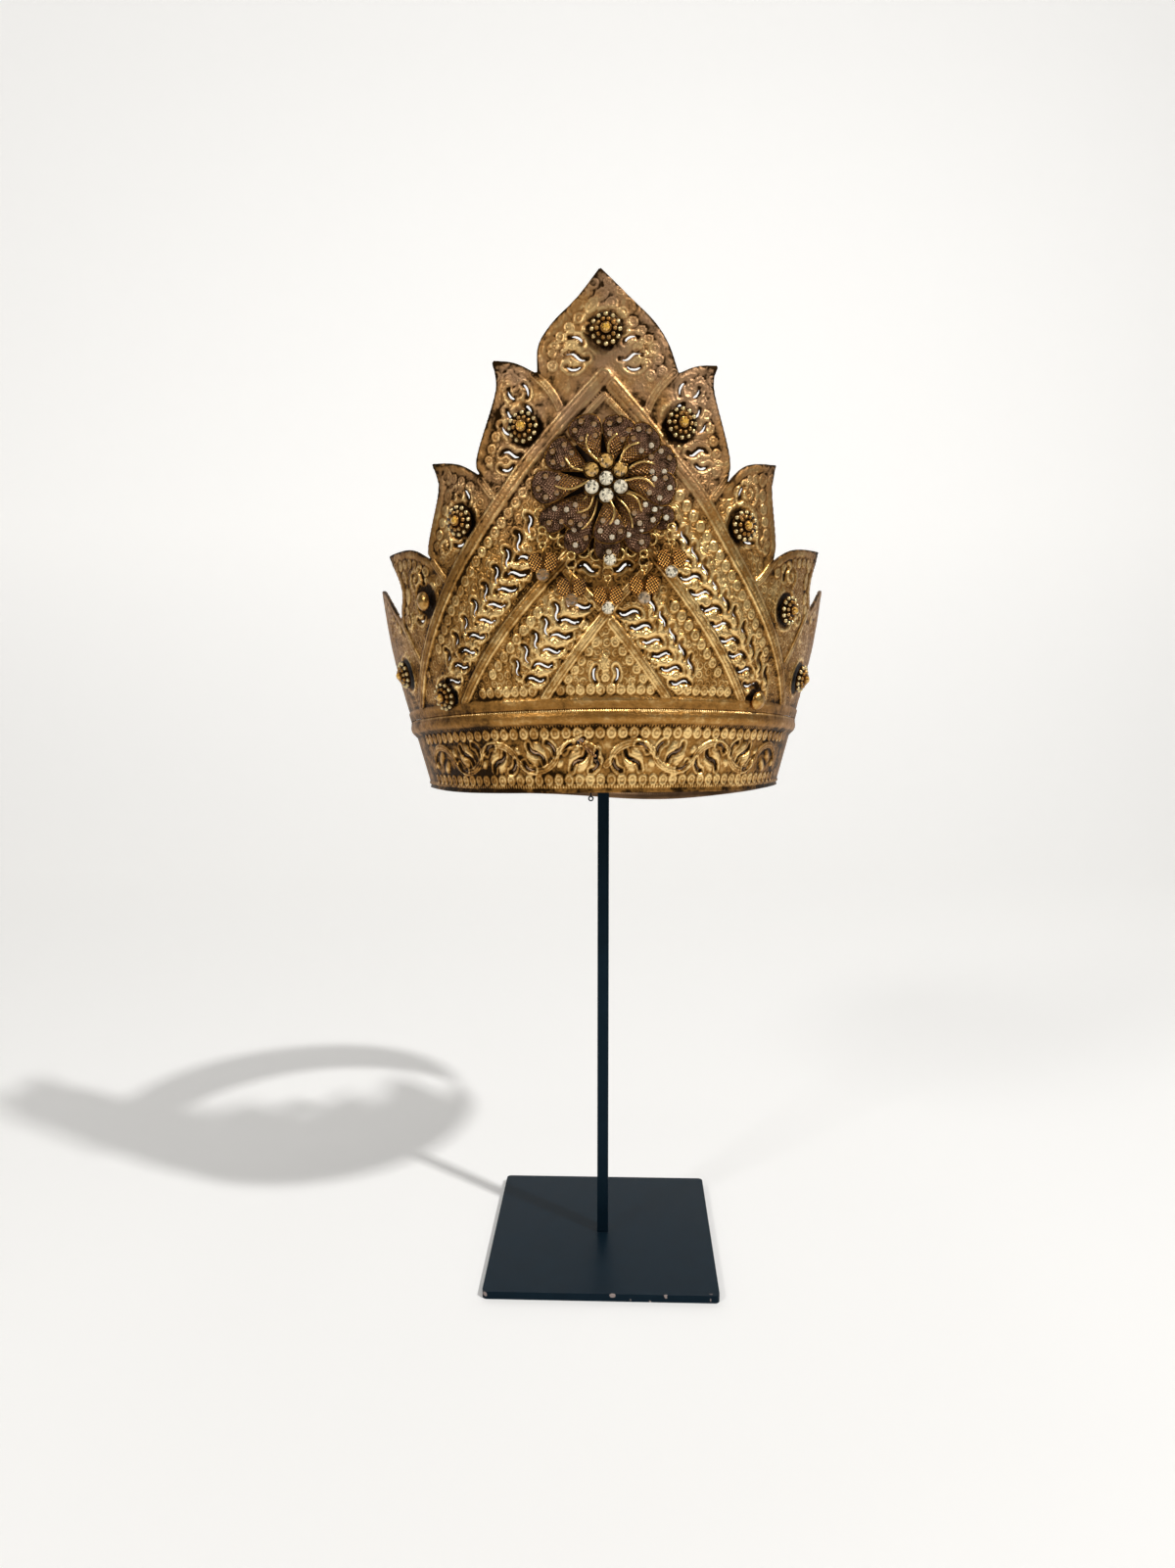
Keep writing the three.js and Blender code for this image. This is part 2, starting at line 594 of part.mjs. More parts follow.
function basePlate() {
  const half = PLATE_SIDE / 2;
  const turn = half - PLATE_CORNER;
  const shape = new THREE.Shape();
  shape.absarc(turn, turn, PLATE_CORNER, 0, Math.PI / 2);
  shape.absarc(-turn, turn, PLATE_CORNER, Math.PI / 2, Math.PI);
  shape.absarc(-turn, -turn, PLATE_CORNER, Math.PI, 1.5 * Math.PI);
  shape.absarc(turn, -turn, PLATE_CORNER, 1.5 * Math.PI, 2 * Math.PI);
  const form = { depth: PLATE_THICK, bevelEnabled: false, curveSegments: 3 };
  const plate = new THREE.ExtrudeGeometry(shape, form);
  return geometryOf(solidOf(plate));
}

function standRod() {
  const foot = PLATE_THICK + SEAT_GAP;
  const top = ARM_HEIGHT + ROD_SIDE / 2;
  const bar = new THREE.BoxGeometry(ROD_SIDE, ROD_SIDE, top - foot).translate(0, 0, (top + foot) / 2);
  const armLength = -HEAD_FRONT - HEAD_THICK / 2;
  const arm = new THREE.BoxGeometry(ROD_SIDE, armLength, ROD_SIDE).translate(0, -armLength / 2, ARM_HEIGHT);
  const head = new THREE.BoxGeometry(HEAD_WIDTH, HEAD_THICK, HEAD_HEIGHT)
    .translate(0, HEAD_FRONT + HEAD_THICK / 2, ARM_HEIGHT);
  return geometryOf(fuse([bar, arm, head]));
}

function rimHook() {
  const eye = new THREE.TorusGeometry(HOOK_EYE, HOOK_WIRE, LINK_WIRE_SIDES, LINK_SIDES).rotateX(Math.PI / 2);
  const top = ARM_HEIGHT - HEAD_HEIGHT / 2 - SEAT_GAP - HOOK_Z;
  const stemFoot = HOOK_EYE - HOOK_WIRE / 2;
  const stem = new THREE.CylinderGeometry(HOOK_WIRE, HOOK_WIRE, top - stemFoot, LINK_WIRE_SIDES)
    .rotateX(Math.PI / 2).translate(0, 0, (top + stemFoot) / 2);
  const mesh = piece("rim_hook", geometryOf(fuse([eye, stem])), "blackPaint");
  mesh.position.set(HOOK_X, HOOK_Y, HOOK_Z);
  return mesh;
}

const brooch = new THREE.Group();
brooch.applyMatrix4(wallFrame(FLOWER_U, FLOWER_V, 0));
brooch.add(piece("flower", flower(), "darkBrass"), ...heartStones());
LOWER_PETAL_ANGLES.forEach((angle, i) => {
  brooch.add(jumpRing(angle, i + 1), pendant(angle, i + 1));
});

const crown = new THREE.Group();
crown.position.copy(CROWN_PLACE);
crown.rotation.set(degToRad(-CROWN_TILT), degToRad(-CROWN_ROLL), degToRad(CROWN_TURN), "ZYX");
crown.add(piece("headband", headband(), "brass"), piece("crest", crest(), "brass"));
crown.add(piece("tie_wire", tieWire(), "copperWire"), ...STUDS.map(stud), brooch);

const stand = new THREE.Group();
stand.add(piece("base_plate", basePlate(), "blackPaint"));
stand.add(piece("stand_rod", standRod(), "blackPaint"), rimHook());

const part = new THREE.Group();
part.add(stand, crown);

export default part;
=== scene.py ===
import functools
import json
import math

import bpy
import mathutils
import numpy as np
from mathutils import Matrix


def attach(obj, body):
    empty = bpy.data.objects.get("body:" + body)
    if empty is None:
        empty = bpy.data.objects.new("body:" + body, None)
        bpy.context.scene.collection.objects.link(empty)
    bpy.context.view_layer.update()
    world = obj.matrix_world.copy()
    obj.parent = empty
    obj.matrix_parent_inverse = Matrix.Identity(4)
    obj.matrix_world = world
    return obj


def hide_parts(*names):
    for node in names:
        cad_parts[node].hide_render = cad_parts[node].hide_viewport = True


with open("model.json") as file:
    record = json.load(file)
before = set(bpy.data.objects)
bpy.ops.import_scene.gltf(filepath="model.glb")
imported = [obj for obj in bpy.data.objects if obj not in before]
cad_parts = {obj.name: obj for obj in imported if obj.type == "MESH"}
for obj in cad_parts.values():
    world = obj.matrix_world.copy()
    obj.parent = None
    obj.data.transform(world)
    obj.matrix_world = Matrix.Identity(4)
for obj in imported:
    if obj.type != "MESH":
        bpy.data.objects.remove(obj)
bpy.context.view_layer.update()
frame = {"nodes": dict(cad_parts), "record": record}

bl_info = {
    "name": "Ceremonial crown on a display stand",
    "version": (1, 0, 0),
    "blender": (4, 5, 0),
    "location": "View3D > Sidebar > Crown",
    "description": "Builds a pierced and raised brass crown, its jewels and its black stand",
    "category": "Object",
}

BODY = "root"
MM = 0.001


def table(columns, *rows):
    """Rows of values under the names of their columns."""
    return [dict(zip(columns.split(), row)) for row in rows]


# The sheet of the crown is described unrolled, in millimetres: u runs round the wall, measured at
# the sheet radius from the front, and v runs up the slant of the wall from the rim.

# Outlines of the flame leaves from the one beside the apex outwards, each from the notch nearer the
# apex by its tip to the notch further from it
LEAVES = table(
    "side into brow tip waist belly out",
    (-1, (27, 177.5), (36, 182.7), (46, 185.2), (45.4, 172.5), (56.8, 147), (55.7, 139.5)),
    (-1, (55.7, 139.5), (67, 146), (82, 149), (79.6, 137.5), (91, 114.5), (90.3, 108.5)),
    (-1, (90.3, 108.5), (106, 115.3), (131, 117), (120.5, 100), (124.5, 90), (126.5, 85.5)),
    (-1, (126.5, 85.5), (149, 102), (172, 107.5), (174, 82), (182, 60), (184, 37.9)),
    (1, (30.5, 177.5), (38, 181), (47.6, 182.6), (46.4, 172.5), (56.2, 146), (55.5, 135.5)),
    (1, (55.5, 135.5), (66, 144.3), (83, 147.3), (82, 136), (88.2, 114), (87, 106)),
    (1, (87, 106), (104, 113.5), (134, 117.8), (127.5, 102), (130, 94), (133, 90)),
    (1, (133, 90), (152, 101.5), (172, 105.5), (174, 82), (182, 60), (184, 37.9)),
)
APEX_LEAF = dict(tip=(-1.2, 217.5), slope=(10, 206.3), shoulder=(20, 197), cheek=(26, 188.5))

# Raised lines that run on from the notches to the outer triangle, the same on both sides
LEAF_VEINS = [
    [(28.5, 177.5), (22.5, 171), (18.5, 164), (17, 158.5)],
    [(55.6, 137.5), (51, 131), (48, 128), (44.5, 127)],
    [(88.6, 107), (83, 100), (79.5, 96.5), (76, 94.5)],
    [(129, 88), (121, 76), (114, 65), (108, 58)],
]

# Legs of the nested triangles from the apex down, raised as ridges. A rope runs along some of them.
TRIANGLE_LEGS = table(
    "width rope line",
    (6.2, 0, [(0, 175.5), (-15, 160.3), (-25.5, 150), (-36, 139.5), (-46, 129), (-64.5, 110.5),
              (-80, 94.5), (-100, 73), (-116, 56), (-127, 43)]),
    (6.2, 0.25, [(0, 175.5), (14, 160), (23, 150), (32, 140), (42.5, 129.5), (60, 108.5),
                 (70, 97.8), (80, 87.5), (90, 77.3), (100, 67), (112, 54), (121, 43)]),
    (3.0, 0, [(0, 167.5), (-14, 153)]),
    (3.0, 0, [(0, 167.5), (14, 153)]),
    (5.2, 0, [(0, 118), (-32, 89.5), (-58, 66.2), (-82, 43)]),
    (5.2, 0.12, [(0, 126), (33, 92), (58, 66), (79.5, 43)]),
    (4.6, 0, [(0, 78.5), (-32, 43)]),
    (4.6, 0, [(0, 78.5), (32, 43)]),
    (3.6, 0, [(0, 78.5), (-20, 99)]),
    (3.6, 0, [(0, 78.5), (20, 99)]),
)

# Boss rows along the bands between the legs, as lines from their upper ends
BOSS_ROWS = [
    [(-8, 158.5), (-24, 142), (-48, 118), (-66, 100), (-96, 67)],
    [(7, 158.5), (21, 142), (42, 118), (61, 98), (93, 64)],
    [(-34, 97.5), (-60, 74.5), (-84, 53)],
    [(36, 98), (60, 74), (81, 53)],
    [(-30, 82), (-48, 65.5), (-62, 53)],
    [(31, 84), (48, 67), (62, 53)],
    [(-8, 76), (-26, 55.5)],
    [(8, 76), (26, 55.5)],
    [(-3, 69), (-21, 49.5)],
    [(3, 69), (21, 49.5)],
    [(-71, 46.4), (-36, 46.4)],
    [(-26, 46.4), (26, 46.4)],
    [(36, 46.4), (71, 46.4)],
]

# Rows of slits down the vines between the triangles. The step across grows from slit to slit.
VINE_ROWS = table(
    "side u v step grow drop count length lean",
    (-1, 35.5, 103.2, 5.6, 0.12, 6.25, 9, 11.5, -5),
    (1, 35, 101, 5.3, 0.12, 6.37, 9, 11.5, -5),
    (-1, 12, 82, 4.9, 0, 6.15, 6, 10.5, -5),
    (1, 11.3, 79, 5.55, 0, 5.93, 6, 10.5, -5),
    (-1, 33.7, 117, 5.6, 0.15, 6.65, 9, 8.5, 77),
    (1, 31, 117, 5.2, 0.125, 6.25, 11, 8.5, -80),
    (-1, 17.4, 85.5, 5.65, 0, 5.75, 6, 8, 72),
    (1, 21.8, 83, 5.5, 0, 6.4, 5, 8.5, -82),
)
VINE_BEND = 1.1

# Slits of the leaves and of the small triangle, the same on both sides
LEAF_SLITS = table(
    "u v length lean bend curl",
    (10.8, 189.4, 6, 25, 1.3, "bow"),
    (10.8, 183.1, 9, 10, 1.1, "wave"),
    (12, 179.4, 6, 0, -1.4, "bow"),
    (32.6, 171.5, 6, 72, 1, "bow"),
    (38.4, 170.5, 5, 55, -1, "bow"),
    (32, 164, 4.5, 52, 0.8, "bow"),
    (39.4, 162.6, 5, 62, -0.8, "bow"),
    (42, 156.5, 5, 55, -0.8, "bow"),
    (40.2, 146.5, 9, 6, 1.1, "wave"),
    (42.8, 141.6, 6, 0, -1.5, "bow"),
    (64.2, 132.3, 6, 72, 1, "bow"),
    (70.5, 113, 6, -5, -1.2, "bow"),
    (99.2, 102.3, 6, 68, 1, "bow"),
    (105, 83.5, 6, 0, -1.2, "bow"),
    (5, 52.9, 6.5, 90, -1.3, "bow"),
    (7.8, 98, 8, 12, 1, "wave"),
)

# Milled rows round the headband
MILLED_ROWS = table(
    "v width height pitch",
    (3.0, 0.9, 0.55, 1.7),
    (30.4, 0.6, 0.5, 1.7),
    (37.6, 0.6, 1.0, 1.25),
)

# Slits of one half wave of the headband's vine, about the half wave's middle
HALF_WAVE_SLITS = table(
    "along up length lean bend curl",
    (-9.5, -4, 7, -48, -1.2, "bow"),
    (-0.5, -1.8, 12, -42, 1.2, "wave"),
    (4.5, 4.2, 7, -25, 1.2, "bow"),
)
TIE_HOLES = table(
    "side u v length lean bend curl width",
    (1, -14.2, 23.6, 4, 20, 0, "bow", 2.6),
    (1, -5.6, 16.6, 6, 75, 0, "bow", 2.4),
)

# Curled strokes on the leaves, the same on both sides: middle, outer radius, start angle and turns
VOLUTES = table(
    "u v radius start turns",
    (36, 171, 6, -60, 1.4),
    (40.5, 158, 5, 140, 1.3),
    (68, 133, 5.5, -60, 1.4),
    (79, 113, 4.5, 140, 1.2),
    (104, 101.5, 5.5, -60, 1.4),
    (117, 84, 4.5, 140, 1.2),
    (147, 84, 7, -60, 1.5),
    (9, 203, 4, 200, 1.2),
    (19, 187, 4.5, 140, 1.2),
)

STUDS = table(
    "name u v beaded",
    ("stud_apex", 0.8, 193, True),
    ("stud_leaf_1_left", -33.5, 156.5, True),
    ("stud_leaf_1_right", 32, 157.3, True),
    ("stud_leaf_2_left", -68, 122, True),
    ("stud_leaf_2_right", 65.5, 118.5, True),
    ("stud_leaf_3_left", -98, 91, False),
    ("stud_leaf_3_right", 103, 86, True),
    ("stud_leaf_4_left", -135, 60.5, True),
    ("stud_leaf_4_right", 135, 57, True),
    ("stud_corner_left", -95, 47, True),
    ("stud_corner_right", 91, 43.5, False),
)


def setting(kind, **extra):
    """A way to state values of one kind by name, description and default."""
    return lambda name, description, default: kind(
        name=name, description=description, default=default, **extra)


length_setting = setting(bpy.props.FloatProperty, unit="LENGTH")
angle_setting = setting(bpy.props.FloatProperty, subtype="ANGLE")
place_setting = setting(bpy.props.FloatVectorProperty, subtype="TRANSLATION")
colour_setting = setting(bpy.props.FloatVectorProperty, subtype="COLOR")
number_setting = setting(bpy.props.FloatProperty)


class CrownWallSettings(bpy.types.PropertyGroup):
    """Sizes and seat of the crown's flaring wall."""

    rim_radius: length_setting("Rim radius", "Outer radius of the rim", 0.0885)
    sheet_radius: length_setting("Sheet radius", "Radius at which u is measured", 0.12)
    thickness: length_setting("Sheet", "Thickness of the brass sheet", 0.0009)
    low_flare: angle_setting("Low flare", "Lean of the headband", math.radians(16))
    high_flare: angle_setting("High flare", "Lean of the crest", math.radians(8.3))
    ease_start: length_setting("Ease start", "Slant where the flare starts to ease", 0.045)
    ease_end: length_setting("Ease end", "Slant where the flare has eased", 0.102)
    band_top: length_setting("Band top", "Slant height of the headband", 0.038)
    seat_gap: length_setting("Seat gap", "Gap between touching pieces", 0.00004)
    tilt: angle_setting("Tilt", "Backward lean on the stand", math.radians(7))
    roll: angle_setting("Roll", "Sideways lean on the stand", math.radians(0.5))
    turn: angle_setting("Turn", "Turn about the rod", math.radians(1.9))
    place: place_setting("Place", "Middle of the rim", (0, -0.004, 0.2516))


class CrownReliefSettings(bpy.types.PropertyGroup):
    """Sizes of the raised and pierced work."""

    grid_step: length_setting("Grid step", "Spacing of the sheet's grid at the front", 0.00087)
    side_step: length_setting("Side step", "Spacing of the sheet's grid round the back", 0.0025)
    front_width: length_setting("Front", "Reach of the fine grid to each side", 0.139)
    slit_width: length_setting("Slit width", "Width of a slit at its middle", 0.001)
    ridge_height: length_setting("Ridge height", "Height of a triangle's ridge", 0.001)
    boss_radius: length_setting("Boss radius", "Radius of a raised boss", 0.0026)
    boss_height: length_setting("Boss height", "Height of a raised boss", 0.0005)


class CrownFinishSettings(bpy.types.PropertyGroup):
    """Colours of the metals, stones and paint."""

    gold: colour_setting("Gold", "Bright raised brass", (0.95, 0.645, 0.265))
    brass: colour_setting("Brass", "Worn brass between", (0.37, 0.176, 0.041))
    tarnish: colour_setting("Tarnish", "Dark hollows", (0.024, 0.011, 0.003))
    copper: colour_setting("Copper", "Pinker brass of the upper leaves", (0.38, 0.225, 0.12))
    umber: colour_setting("Umber", "Dark brown petals", (0.225, 0.12, 0.07))
    granule: colour_setting("Granule", "Pale gold granules", (0.78, 0.51, 0.18))
    bead: colour_setting("Bead", "Paler granules of the studs", (0.74, 0.58, 0.29))
    wing: colour_setting("Wing", "Orange gold of the cross-cut wings", (0.85, 0.4, 0.085))
    clear_stone: colour_setting("Clear stone", "Clear cut stones", (1.0, 0.89, 0.66))
    amber_stone: colour_setting("Amber stone", "Amber cut stones", (0.72, 0.42, 0.12))
    honey_stone: colour_setting("Honey stone", "Small stones of the studs", (0.95, 0.52, 0.08))
    paint: colour_setting("Paint", "Stand's dark paint", (0.003, 0.008, 0.013))
    chip: colour_setting("Chip", "Bare metal in the paint's chips", (0.3, 0.24, 0.22))
    floor: colour_setting("Floor", "Pale studio floor", (0.86, 0.85, 0.83))


class CrownStageSettings(bpy.types.PropertyGroup):
    """Camera and studio."""

    camera_place: place_setting("Camera", "Place of the camera", (0.00974, -0.54998, 0.32))
    camera_pitch: angle_setting("Pitch", "Downward look of the camera", math.radians(6.7))
    camera_turn: angle_setting("Turn", "Turn of the camera", math.radians(1.9))
    lens: number_setting("Lens", "Focal length in millimetres", 23.88)
    backdrop: length_setting("Backdrop", "Distance of the backdrop behind the stand", 1.6)


# Wall of the crown

# Slant heights at which the wall is worked out, past both of its edges
SLANT_SPAN, SLANT_COUNT = (-10, 240), 2501


class Wall:
    """The crown's flaring wall.

    The radius is the running sum of the sine of the flare up the slant and the height that of its
    cosine, where the flare eases from the low to the high value along a smooth step.
    """

    def __init__(self, settings):
        self.sheet_radius = settings.sheet_radius / MM
        self.slant = np.linspace(*SLANT_SPAN, SLANT_COUNT)
        low, high = settings.ease_start / MM, settings.ease_end / MM
        share = smooth_step(self.slant, low, high)
        self.flare = settings.low_flare + (settings.high_flare - settings.low_flare) * share
        self.radius = settings.rim_radius / MM + running_sum(np.sin(self.flare), self.slant)
        self.rise = running_sum(np.cos(self.flare), self.slant)
        self.axes = turn_matrix(settings.tilt, settings.roll, settings.turn)
        self.origin = np.array(settings.place) / MM

    def place(self, u, v, out):
        """Row-frame places in metres of sheet places in millimetres."""
        angle = u / self.sheet_radius
        flare = np.interp(v, self.slant, self.flare)
        radius = np.interp(v, self.slant, self.radius) + out * np.cos(flare)
        rise = np.interp(v, self.slant, self.rise) - out * np.sin(flare)
        local = np.stack([radius * np.sin(angle), -radius * np.cos(angle), rise], axis=-1)
        return (local @ self.axes.T + self.origin) * MM

    def stand(self, u, v, points):
        """Row-frame places of points given in millimetres about a sheet place, with z out of the wall."""
        angle = u / self.sheet_radius
        flare = np.interp(v, self.slant, self.flare)
        outward = np.array([math.sin(angle), -math.cos(angle), 0])
        across = np.array([math.cos(angle), math.sin(angle), 0])
        up = outward * math.sin(flare) + np.array([0, 0, math.cos(flare)])
        normal = np.cross(across, up)
        axes = self.axes @ np.stack([across, up, normal], axis=1)
        return points @ axes.T * MM + self.place(np.array(u), np.array(v), np.array(0.0))


def smooth_step(value, low, high):
    """Zero up to low and one from high on, with a smooth step between."""
    share = np.clip((value - low) / (high - low), 0, 1)
    return share * share * (3 - 2 * share)


def bell(distance, width, power=2):
    """A bell curve: one at no distance and falling away past the width, steeper for a higher power."""
    return np.exp(-(distance / width) ** power)


def running_sum(rate, along):
    """Integral of rate along a line by trapezia, zero where along is zero."""
    steps = np.diff(along) * (rate[1:] + rate[:-1]) / 2
    total = np.concatenate([[0], np.cumsum(steps)])
    return total - np.interp(0, along, total)


def turn_matrix(tilt, roll, turn):
    """Rotation by -tilt about X, then -roll about Y, then turn about Z."""
    return np.array(mathutils.Euler((-tilt, -roll, turn)).to_matrix())


# Curves on the sheet

def spline(points, per_span):
    """Catmull-Rom curve through the points: each span is the cubic whose end slopes are half the
    chord between the neighbouring points."""
    points = np.array(points, float)
    padded = np.concatenate([[2 * points[0] - points[1]], points, [2 * points[-1] - points[-2]]])
    t = np.linspace(0, 1, per_span, endpoint=False)[:, None]
    spans = []
    for a, b, c, d in zip(padded[:-3], padded[1:-2], padded[2:-1], padded[3:]):
        spans.append(0.5 * (2 * b + (c - a) * t + (2 * a - 5 * b + 4 * c - d) * t ** 2
                            + (3 * b - a - 3 * c + d) * t ** 3))
    return np.concatenate(spans + [points[-1:]])


def leaf_edges(leaf):
    """The brow of a leaf from its inner notch to its tip, and its flank from tip to outer notch."""
    flip = np.array([leaf["side"], 1])
    brow = spline([leaf["into"], leaf["brow"], leaf["tip"]], 10) * flip
    flank = spline([leaf["tip"], leaf["waist"], leaf["belly"], leaf["out"]], 12) * flip
    return brow, flank


def apex_edge(side):
    """The edge of the apex leaf from its tip down to the notch on one side."""
    notch = [leaf["into"] for leaf in LEAVES if leaf["side"] == side][0]
    flip = np.array([side, 1])
    points = [np.array(APEX_LEAF[key]) * flip for key in ("slope", "shoulder", "cheek")]
    return spline([APEX_LEAF["tip"], *points, np.array(notch) * flip], 10)


def crest_outline(bottom):
    """The whole outline of the crest, from its lower left corner round by the apex."""
    left = [leaf for leaf in LEAVES if leaf["side"] < 0]
    right = [leaf for leaf in LEAVES if leaf["side"] > 0]
    parts = []
    for leaf in reversed(left):
        brow, flank = leaf_edges(leaf)
        parts += [flank[::-1], brow[::-1]]
    parts += [apex_edge(-1)[::-1], apex_edge(1)]
    for leaf in right:
        parts += list(leaf_edges(leaf))
    outline = np.concatenate(parts)
    outline[:, 1] = np.maximum(outline[:, 1], bottom)
    return outline


def slit_line(slit):
    """Middle line of a slit: along its lean, swayed by a bow (one minus t squared) or a wave (the
    sine of pi t), with t the share of the half length."""
    t = np.linspace(-1, 1, 15)
    sway = slit["bend"] * (1 - t * t if slit["curl"] == "bow" else np.sin(np.pi * t))
    along = t * slit["length"] / 2
    lean = math.radians(slit["lean"])
    u = slit["side"] * (slit["u"] + along * math.cos(lean) - sway * math.sin(lean))
    v = slit["v"] + along * math.sin(lean) + sway * math.cos(lean)
    return np.stack([u, v], axis=1)


def both_sides(rows):
    return [dict(row, side=side) for row in rows for side in (-1, 1)]


def vine_slits():
    """The slits down the vines, one row of the table after another."""
    slits = []
    for row in VINE_ROWS:
        for i in range(row["count"]):
            u = row["u"] + i * row["step"] + i * i * row["grow"]
            slits.append(dict(row, u=u, v=row["v"] - i * row["drop"], bend=VINE_BEND, curl="wave"))
    return slits


# Sheets: grids of values that are pierced and then wrapped on the wall

WHOLE = slice(None)
NO_RING, NO_VEIN, NO_EDGE = 1.4, 9.0, 50.0
# Reach round the wall over which the worked front gives way to plain sheet
PLAIN_FROM, PLAIN_TO = 132, 156
# Margins of a window round a line and of one that takes in the whole grid
LINE_MARGIN, WHOLE_MARGIN = 6, 1e3
ROPE_PITCH = 1.7
SLIT_DEPTH = 0.6
# Reach of the hollows' darkening and its strength: tarnish in the hollows together with painted shade
CAVITY_REACH, CAVITY_TARNISH_AND_SHADE = 3, 0.9
INSIDE_STAIN = 0.25


class Sheet:
    """A grid of places on the unrolled wall with a height, a piercing field and a darkening at each, which
    holds tarnish and wear together with painted shade.

    The field is the distance in millimetres to the nearest edge, positive on the metal. Ring is the
    distance from the nearest boss or ridge as a share of its half width, and vein the distance in
    millimetres from the nearest slit or stroke: the finish chases its fine lines by them. Ground is
    one where the finish may fill the sheet with ring punches, and plain one where it stays even.
    """

    def __init__(self, us, vs):
        self.us, self.vs = us, vs
        self.u, self.v = np.meshgrid(us, vs)
        self.height, self.stain, self.ground = (np.zeros_like(self.u) for _ in range(3))
        self.field, self.ring, self.vein = (
            np.full_like(self.u, far) for far in (NO_EDGE, NO_RING, NO_VEIN))
        self.plain = smooth_step(np.abs(self.u), PLAIN_FROM, PLAIN_TO)

    def blend(self, part, share, **levels):
        """Draws some of the grids towards a level of each by a share, in a window."""
        for key, level in levels.items():
            grid = getattr(self, key)
            grid[part] = grid[part] * (1 - share) + level * share

    def window(self, points, margin):
        """Slices of the grid round some points."""
        low, high = points.min(0) - margin, points.max(0) + margin
        i0, i1 = np.searchsorted(self.us, [low[0], high[0]])
        j0, j1 = np.searchsorted(self.vs, [low[1], high[1]])
        return slice(max(j0 - 1, 0), j1 + 1), slice(max(i0 - 1, 0), i1 + 1)

    def near(self, points, margin):
        """Distance to a line, the length along it to the nearest place and that place's side, in a window."""
        part = self.window(points, margin)
        u, v = self.u[part], self.v[part]
        best = np.full(u.shape, 1e6)
        along = np.zeros(u.shape)
        side = np.zeros(u.shape)
        run = 0.0
        for a, b in zip(points[:-1], points[1:]):
            du, dv = b - a
            length = math.hypot(du, dv)
            if length < 1e-9:
                continue
            share = np.clip(((u - a[0]) * du + (v - a[1]) * dv) / length ** 2, 0, 1)
            away = np.hypot(u - a[0] - share * du, v - a[1] - share * dv)
            closer = away < best
            best = np.where(closer, away, best)
            along = np.where(closer, run + share * length, along)
            side = np.where(closer, np.sign((v - a[1]) * du - (u - a[0]) * dv), side)
            run += length
        return part, best, along, side, run

    def stroke(self, points, width, height):
        """Raises a rounded stroke along a line: height times a bell curve of the distance."""
        part, away, *_ = self.near(points, LINE_MARGIN)
        self.height[part] += height * bell(away, width)
        self.vein[part] = np.minimum(self.vein[part], away)

    def ridge(self, points, width, height, rope=0.0):
        """Raises a smooth rounded band, with a milled line on its middle if rope."""
        part, away, along, *_ = self.near(points, width)
        half = width / 2
        mill = rope * bell(away, 0.7) * np.cos(2 * np.pi * along / ROPE_PITCH)
        level = height * (0.75 + 0.25 * np.clip(1 - (away / half) ** 2, 0, 1)) + mill
        body = 1 - smooth_step(away, half - 0.3, half + 0.5)
        self.blend(part, body, height=level, stain=0.12)
        near = 1 - smooth_step(away, half, half + 1.5)
        self.blend(part, near, ring=np.minimum(away / half, NO_RING), vein=NO_VEIN, ground=0)

    def bosses(self, points, pitch, radius, height, offset=0.0, side_wanted=0):
        """Raises round bosses along a line, or along its offset to one side: low domes in a moat."""
        part, away, along, side, run = self.near(points, offset + 2 * radius)
        step = run / max(1, round(run / pitch))
        shift = along / step - np.floor(along / step) - 0.5
        apart = np.hypot(shift * step, away - offset) / radius
        if side_wanted:
            apart = np.where(side * side_wanted > 0, apart, 1e3)
        disc = 1 - smooth_step(apart, 0.75, 1.05)
        dome = np.clip(1 - apart ** 2, 0, 1)
        moat = bell(apart - 1.1, 0.2)
        level = height * (0.6 * disc + 0.2 * dome)
        self.height[part] = np.maximum(self.height[part] * (1 - disc), level) - 0.15 * moat * height
        self.blend(part, disc, stain=-0.12, vein=NO_VEIN)
        self.stain[part] += 0.1 * moat
        self.ring[part] = np.minimum(self.ring[part], apart)
        self.ground[part] *= smooth_step(apart, 1.0, 1.3)

    def pierce(self, slit, width, lens=True):
        """Sinks a leaf-shaped hollow on the upper side of a slit, if lens, and cuts the slit along the
        hollow's foot."""
        part, away, along, side, run = self.near(slit_line(slit), LINE_MARGIN)
        t = 2 * along / run - 1
        full = np.sqrt(np.clip(1.02 - t ** 2, 0.02, 1))
        half = slit.get("width", width) / 2 * full
        upper = (side * slit["side"] > 0) & (slit["curl"] == "wave") & lens
        reach = np.where(upper, 0.9 + 1.7 * full, 1.2)
        hollow = 1 - smooth_step(away, 0.45 * reach, reach)
        lip = bell(away - reach - 0.5, 0.6)
        self.height[part] += 0.2 * lip - SLIT_DEPTH * hollow
        # The hollow and the slit's edge are painted darker, tarnish together with painted shade, and the lip
        # lighter
        self.stain[part] += 0.1 * hollow + 0.15 * bell(away, 1.0) - 0.2 * lip
        self.field[part] = np.minimum(self.field[part], away - half)
        self.vein[part] = np.minimum(self.vein[part], away)
        self.ground[part] *= smooth_step(away, 2.4, 3.6)

    def lobe(self, u, v, length, width, lean, height):
        """Raises a leaf-shaped lobe: a dome over an oval."""
        turn = math.radians(lean)
        reach = np.array([[u - length / 2, v - length / 2], [u + length / 2, v + length / 2]])
        part = self.window(reach, 1)
        du, dv = self.u[part] - u, self.v[part] - v
        along = du * math.cos(turn) + dv * math.sin(turn)
        across = dv * math.cos(turn) - du * math.sin(turn)
        share = (2 * along / length) ** 2 + (2 * across / width) ** 2
        dome = np.sqrt(np.clip(1 - share, 0, 1))
        self.height[part] += height * dome
        self.stain[part] -= 0.2 * dome

